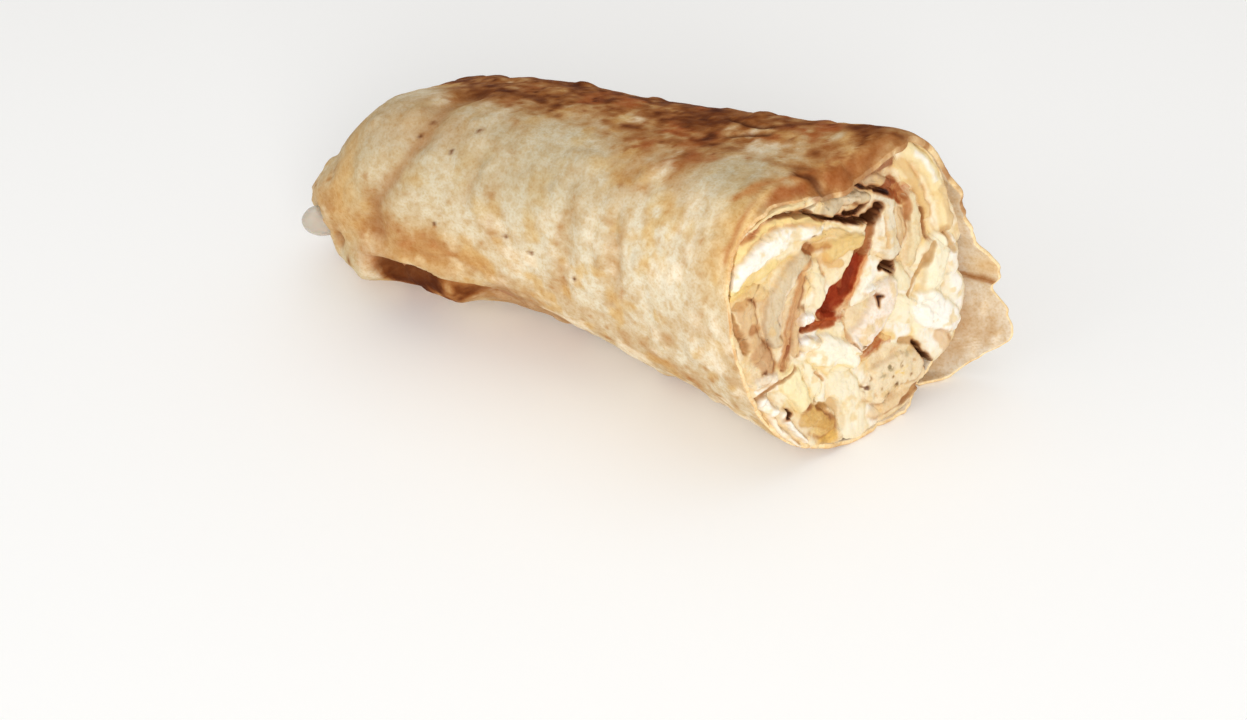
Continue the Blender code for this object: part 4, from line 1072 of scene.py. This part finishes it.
def rim_points(piece, spine):
    half = piece.thickness / 2 + SPREAD
    ends = max(5, round(math.pi * half / OUTLINE_STEP))
    sides = max(4, round((piece.length - piece.thickness) / OUTLINE_STEP))
    last = len(spine) - 1
    rim = []
    for start, finish, sign in ((0, last, 1), (last, 0, -1)):
        for t in np.linspace(start, finish, sides + 1):
            low = min(int(t), last - 1)
            along = spine[low + 1] - spine[low]
            side = np.array([along[1], -along[0]]) * sign / np.linalg.norm(along)
            rim.append(spine[low] + along * (t - low) + side * half)
        first = math.atan2(side[1], side[0])
        for k in range(1, ends):
            turn = first + math.pi * k / ends
            rim.append(spine[finish] + np.array([math.cos(turn), math.sin(turn)]) * half)
    return np.array(rim)


def filling_outline(index, spines):
    """Outline on the cut, evened out and made slightly uneven like a cut piece."""
    middle = spines[index][SPINE_HALF]
    shares = np.linspace(0, 1, OUTWARD_STEPS + 1)
    rays = rim_points(FILLING[index], spines[index]) - middle
    kept = belongs(index, middle + rays[:, None, :] * shares[:, None], spines)
    reached = np.where(kept.all(1), OUTWARD_STEPS, np.argmin(kept, axis=1) - 1)
    outline = middle + rays * shares[np.maximum(reached, 1)][:, None]
    outline = (np.roll(outline, 1, 0) + 2 * outline + np.roll(outline, -1, 0)) / 4
    return outline, middle


def edge_distance(places, outline):
    """Distance of each place from a closed outline."""
    start, step = outline, np.roll(outline, -1, 0) - outline
    offset = places[..., None, :] - start
    share = np.clip((offset * step).sum(-1) / np.maximum((step * step).sum(-1), 1e-9), 0.0, 1.0)
    return np.linalg.norm(offset - step * share[..., None], axis=-1).min(-1)


def line_places(across, up, points):
    """Distance from a line, distance along it and across it in mm, and the share along it."""
    nearest = np.full(across.shape, FAR)
    along, side = np.zeros(across.shape), np.zeros(across.shape)
    passed = 0.0
    for (u0, v0), (u1, v1) in zip(points, points[1:]):
        length = math.hypot(u1 - u0, v1 - v0)
        right, above = (u1 - u0) / length, (v1 - v0) / length
        t = (across - u0) * right + (up - v0) * above
        held = np.clip(t, 0.0, length)
        gap = np.hypot(across - u0 - held * right, up - v0 - held * above)
        closer = gap < nearest
        nearest = np.where(closer, gap, nearest)
        along = np.where(closer, passed + t, along)
        side = np.where(closer, (up - v0) * right - (across - u0) * above, side)
        passed += length
    return nearest, along, side, np.clip(along / passed, 0.0, 1.0)


def shade_side(points):
    """1 or -1: the side of a line that faces away from the light, to the right and down."""
    right, above = points[-1][0] - points[0][0], points[-1][1] - points[0][1]
    return -1.0 if right * SHADE_SIDE[1] - above * SHADE_SIDE[0] < 0 else 1.0


def dress_cut(across, up, colour):
    """Relief in mm and colour of the slices, strips and gaps seen on the cut; their edges and the
    gaps get painted shade.
    """
    flat = flat_places(across, up)
    right = across + 0.45 * noise(flat, 2.6, 62, 2) + 0.16 * noise(flat, 0.9, 60)
    above = up + 0.45 * noise(flat, 2.6, 63, 2) + 0.16 * noise(flat, 0.9, 61)
    broken = 0.65 + 0.8 * noise(flat, 1.6, 64, 2)
    height = np.zeros(across.shape)
    for points, start, finish, rise, paint, strength, rim, rim_strength in CUT_SLICES:
        gap, along, side, share = line_places(right, above, points)
        half = start + (finish - start) * share
        inside = half - gap
        cover = smooth_step(inside, -SLICE_SOFTNESS, SLICE_SOFTNESS)
        if not cover.any():
            continue
        rounded = np.sqrt(np.clip(1 - (gap / half)**2, 0.0, 1.0))
        strands = noise(flat_places(0.22 * along, side) + 5.0 * start, 0.7, 65, 2)
        height = height + SLICE_RISE * rise * cover * (0.3 + 0.7 * rounded) + 0.14 * strands * cover
        shade = strength * cover * (0.92 + 0.25 * strands)
        colour = blend(colour, paint, shade) if rise > 0 else stain(colour, paint, shade)
        # Painted shade along each slice's edge, strongest on the side away from the light.
        shaded = 0.12 + 0.78 * smooth_step(side * shade_side(points), -0.3 * start, 0.6 * start)
        edge = rim_strength * bell(inside - 0.05, SLICE_EDGE) * broken * shaded
        colour = stain(colour, rim, edge)
        height = height - 0.35 * np.clip(edge, 0.0, 1.0)
    for u, v, size, paint in CUT_SPECKS:
        near = np.exp(-((right - u)**2 + (above - v)**2) / (0.6 * size)**2)
        colour = stain(colour, paint, near * (0.5 + 1.6 * noise(flat, 0.7, 66, 2)))
    for points, start, finish, deep in CUT_GAPS:
        gap, _, _, share = line_places(right, above, points)
        half = start + (finish - start) * share
        opening = smooth_step(half - gap, -0.30, 0.35)
        if not opening.any():
            continue
        height = height - deep * opening
        # Painted shade: a brown ring round each gap and near black inside it.
        colour = stain(colour, BROWN, 0.6 * smooth_step(half - gap, -0.8, -0.1))
        colour = stain(colour, GAP_COLOUR, smooth_step(half - gap, -0.34, 0.0))
    return height, colour


def strand_places(fronts, target=None, behind=None):
    """Places on the lengthwise lines through places on the cut: at a row, or behind the cut."""
    distance, a, b = section_place(plane_point(fronts))
    angle = np.degrees(np.arctan2(b, a))
    row = np.full(distance.shape, target) if behind is None else distance + behind
    limit = filling_reach(distance, angle)
    shrink = filling_reach(row, angle) / limit * np.minimum(1.0, limit / np.hypot(a, b))
    y = section_value(SIDE_SHIFT, row) + section_value(HALF_WIDTH, row) * a * shrink
    z = section_value(CENTRE_HEIGHT, row) + section_value(HALF_HEIGHT, row) * b * shrink
    return np.stack([-row, y, z], -1)


def cream_between(across, up):
    """Colour of the thin sauce that runs between the pieces."""
    flat = flat_places(across, up)
    cream = np.broadcast_to(CREAM, flat.shape)
    colour = blend(cream, IVORY, 0.5 + 1.3 * noise(flat, 3.4, 82, 3))
    return stain(colour, GOLD, 0.5 * smooth_step(noise(flat, 4.2, 83, 2), 0.0, 0.5))


def piece_front(index, places, outline, middle):
    """Height over the cut and colour of a piece's cut face."""
    piece = FILLING[index]
    base, second, edge_tint, edge_strength, fibre, lumps = KIND_LOOKS[piece.kind]
    across, up = places[..., 0], places[..., 1]
    flat = flat_places(across, up)
    own = flat + 7.0 * index
    inside = edge_distance(places, outline)
    tilt = math.radians(piece.tilt)
    c, s = math.cos(tilt), math.sin(tilt)
    right, above = across - middle[0], up - middle[1]
    grain = flat_places((right * c + above * s) * 0.28, above * c - right * s) + 3.0 * index
    open_edge = smooth_step(noise(flat, 4.5, 75, 2), -0.1, 0.45)
    height = 0.6 * piece.proud * smooth_step(inside, 0.0, 1.2)
    height = height + 0.3 * (1 - np.exp(-inside / 1.4))
    soft = 0.25 if piece.kind in ("sauce", "potato") else 1.0
    height = height - soft * (0.05 + 0.7 * open_edge) * EDGE_DROP * np.exp(-inside / EDGE_RADIUS)
    uneven = noise(flat, 3.0, 71, 3)
    height = height + fibre * noise(grain, 0.9, 70, 3) + 0.45 * uneven
    height = height + 0.10 * noise(flat, 0.8, 76, 2)
    colour = np.broadcast_to(base, places.shape[:-1] + (3,))
    colour = blend(colour, second, 0.5 + 1.2 * noise(own, lumps, 72, 3))
    colour = stain(colour, edge_tint, 0.3 * smooth_step(noise(grain, 0.8, 74, 2), 0.2, 0.7))
    colour = blend(colour, cream_between(across, up), 0.85 * bell(inside, 0.8))
    # Painted shade in the cracks: along edges where a crack opens, the edge colour darkens the piece.
    line = np.exp(-inside / 0.3) * open_edge
    colour = stain(colour, edge_tint, 0.6 * soft * edge_strength * line)
    relief, colour = dress_cut(across, up, colour)
    blotch = smooth_step(noise(flat, 2.0, 77, 3), 0.15, 0.6)
    colour = stain(colour, (232, 196, 134), 0.45 * blotch)
    # Painted shade: low places of the cut face are darkened with tan.
    hollow = smooth_step(-(0.5 * relief + 0.30 * uneven), 0.02, 0.30)
    colour = stain(colour, (222, 180, 124), 0.4 * hollow)
    return height + relief, colour * CUT_SHADE


def filling_piece(index, spines):
    outline, middle = filling_outline(index, spines)
    shares = 1 - (np.arange(CAP_RINGS) / CAP_RINGS)**CAP_CROWDING
    rings = middle + (outline - middle)[None] * shares[:, None, None]
    height, colour = piece_front(index, rings, outline, middle)
    points = plane_point(rings) + height[..., None] * CUT_NORMAL
    build = Build()
    cap = build.add(points, colour)
    build.skin(cap, closed=True)
    tip_height, tip_colour = piece_front(index, middle[None], outline, middle)
    tip = build.add(plane_point(middle[None]) + tip_height[:, None] * CUT_NORMAL, tip_colour)
    build.fan(cap[-1], int(tip[0]), flip=True)
    overhang = points[0] - strand_places(outline, behind=0.0)
    # Painted shade: a piece's side darkens towards brown behind the cut.
    deep = stain(colour[0], BROWN, np.full(len(outline), 0.5))
    rows = [cap[0]]
    for step in SIDE_STEPS:
        side = strand_places(outline, behind=step) + overhang * (1 - step / SIDE_STEPS[-1])
        shade = blend(colour[0], deep, np.full(len(outline), min(1.0, step / DARKENING)))
        rows.append(build.add(side, shade))
    for target in ROWS:
        rows.append(build.add(strand_places(outline, target), deep))
    build.skin(np.stack(rows), closed=True, flip=True)
    back_middle = build.add(strand_places(middle[None], ROWS[-1]), deep[:1])
    build.fan(rows[-1], int(back_middle[0]), flip=False)
    kind = FILLING[index].kind
    material = MATERIALS["crumb" if kind == "bread" else kind]
    piece = build.make("cut_" + FILLING[index].name, material)
    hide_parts(FILLING[index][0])


FILM_DEPTH, FILM_INSET, FILM_SET_BACK = 10.0, 2.2, 1.3
FILM_SIDES, FILM_RINGS = 240, 64


def sauce_film():
    """Thin sauce behind the pieces, which shows in the cracks between them."""
    build = Build()
    angles = np.arange(FILM_SIDES) * 360 / FILM_SIDES
    rim_distance = cut_distance(angles, FILM_INSET)
    offset = wrap_point(rim_distance, angles, FILM_INSET) - CUT_MIDDLE
    outline = np.stack([offset @ CUT_ACROSS, offset @ CUT_UP], -1)
    middle = outline.mean(0)
    shares = np.linspace(1.0, 0.02, FILM_RINGS)
    rings = middle + (outline - middle)[None] * shares[:, None, None]
    across, up = rings[..., 0], rings[..., 1]
    flat = flat_places(across, up)
    relief, colour = dress_cut(across, up, cream_between(across, up))
    height = -FILM_SET_BACK + 0.3 * noise(flat, 2.4, 80, 2) + relief
    height = height - 1.2 * np.exp(-edge_distance(rings, outline) / 0.8)
    # Painted shade: the whole film is darkened with tan, as it shows only in the cracks.
    colour = stain(colour, TAN, np.full(across.shape, 0.45))
    front = plane_point(rings) + height[..., None] * CUT_NORMAL
    back = strand_places(rings, behind=FILM_DEPTH)
    top, bottom = build.add(front, colour), build.add(back, colour)
    build.skin(top, closed=True)
    build.skin(bottom, closed=True, flip=True)
    build.skin(np.stack([top[0], bottom[0]]), closed=True, flip=True)
    for ring, points, flip in ((top[-1], front, True), (bottom[-1], back, False)):
        centre = build.add(points[-1].mean(0)[None], colour[-1, :1])
        build.fan(ring, int(centre[0]), flip=flip)
    build.make("thin_sauce", MATERIALS["sauce"])


DROP_RADII = (4.3, 3.4, 3.6)   # outwards, up and around
DROP_OUTWARD, DROP_AROUND = np.array([-0.95, -0.31, 0.02]), np.array([0.31, -0.95, 0.0])


def sauce_drop():
    """The drop that hangs at the folded end."""
    build = Build()
    along, angle = DROP_PLACE
    centre = wrap_point(np.array([along]), np.array([angle]), 0.0)[0]
    up = np.cross(DROP_OUTWARD, DROP_AROUND)
    turn, rise = np.meshgrid(np.radians(np.arange(0, 360, 7.5)), np.radians(np.arange(-84, 85, 7)))
    shape = np.stack([np.cos(rise) * np.cos(turn), np.cos(rise) * np.sin(turn), np.sin(rise)], -1)
    shape = shape * (1 + 0.07 * noise(shape, 0.9, 90, 2))[..., None]
    shape[..., 2] = shape[..., 2] - 0.10 * (1 - np.abs(np.sin(rise)))
    axes = np.stack([DROP_OUTWARD * DROP_RADII[0], DROP_AROUND * DROP_RADII[2], up * DROP_RADII[1]])
    points = centre + DROP_SHIFT + shape @ axes
    colour = linear(212, 200, 182)
    grid = build.add(points, colour)
    build.skin(grid, closed=True)
    for ring, flip in ((grid[0], True), (grid[-1], False)):
        ends = points[0] if flip else points[-1]
        build.fan(ring, int(build.add(ends.mean(0)[None], colour)[0]), flip=flip)
    piece = build.make("hanging_drop", drop_material())
    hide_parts("sauce_drop")


def drop_material():
    material, _, shader = new_material("clear_drop")
    set_inputs(shader, {"Base Color": (0.72, 0.67, 0.59, 1.0), "Roughness": 0.22, "IOR": 1.36,
                        "Transmission Weight": 0.55, "Subsurface Weight": 0.2,
                        "Subsurface Scale": 1.0 * MM})
    return material


# --- stage -------------------------------------------------------------------------------------

FLOOR_SIZE = 6.0


def make_floor():
    bpy.ops.mesh.primitive_plane_add(size=FLOOR_SIZE, location=(0, 0, 0))
    floor = bpy.context.object
    floor.name = "floor"
    material, _, shader = new_material("pale_floor")
    set_inputs(shader, {"Base Color": (0.97, 0.97, 0.965, 1.0), "Roughness": 0.7})
    floor.data.materials.append(material)


LIGHT_TARGET = Vector((0.0, 0.0, 0.02))


def area_light(name, place, size, power):
    data = bpy.data.lights.new(name, "AREA")
    data.size = size
    data.energy = power
    light = bpy.data.objects.new(name, data)
    light.location = place
    light.rotation_mode = "QUATERNION"
    light.rotation_quaternion = (LIGHT_TARGET - Vector(place)).to_track_quat("-Z", "Y")
    bpy.context.scene.collection.objects.link(light)


# Camera, in degrees and millimetres
CAMERA_AZIMUTH, CAMERA_ELEVATION, CAMERA_ROLL = 34.879, 40.120, -2.998
CAMERA_DISTANCE = 335.36
CAMERA_TARGET = np.array([0.143, -1.756, -8.330])
CAMERA_LENS, CAMERA_SENSOR = 44.572, 36.0


def make_camera():
    a, e, r = (math.radians(x) for x in (CAMERA_AZIMUTH, CAMERA_ELEVATION, CAMERA_ROLL))
    back = Vector((math.sin(a) * math.cos(e), -math.cos(a) * math.cos(e), math.sin(e)))
    right = Vector((math.cos(a), math.sin(a), 0.0))
    up = back.cross(right)
    side = right * math.cos(r) + up * math.sin(r)
    top = up * math.cos(r) - right * math.sin(r)
    data = bpy.data.cameras.new("camera")
    data.lens = CAMERA_LENS
    data.sensor_width = CAMERA_SENSOR
    camera = bpy.data.objects.new("camera", data)
    place = Vector(CAMERA_TARGET * MM) + back * CAMERA_DISTANCE * MM
    turn = Matrix((side, top, back)).transposed()
    camera.matrix_world = Matrix.Translation(place) @ turn.to_4x4()
    bpy.context.scene.collection.objects.link(camera)
    bpy.context.scene.camera = camera


def make_light():
    world = bpy.data.worlds.new("studio")
    bpy.context.scene.world = world
    world.use_nodes = True
    sky = world.node_tree.nodes["Background"]
    set_inputs(sky, {"Color": (1.0, 0.99, 0.97, 1.0), "Strength": 0.62})
    area_light("key", (0.62, -0.72, 0.42), 0.5, 5.7)
    area_light("fill", (-0.55, -0.75, 0.35), 0.7, 1.8)
    area_light("top", (0.0, 0.25, 0.95), 0.8, 1.2)


# --- the scene ---------------------------------------------------------------------------------

make_bread()
piece_spines = [spine_points(piece) for piece in FILLING]
for piece_index in range(len(FILLING)):
    filling_piece(piece_index, piece_spines)
sauce_film()
sauce_drop()
make_floor()
make_camera()
make_light()
bpy.context.scene.view_settings.view_transform = "Standard"
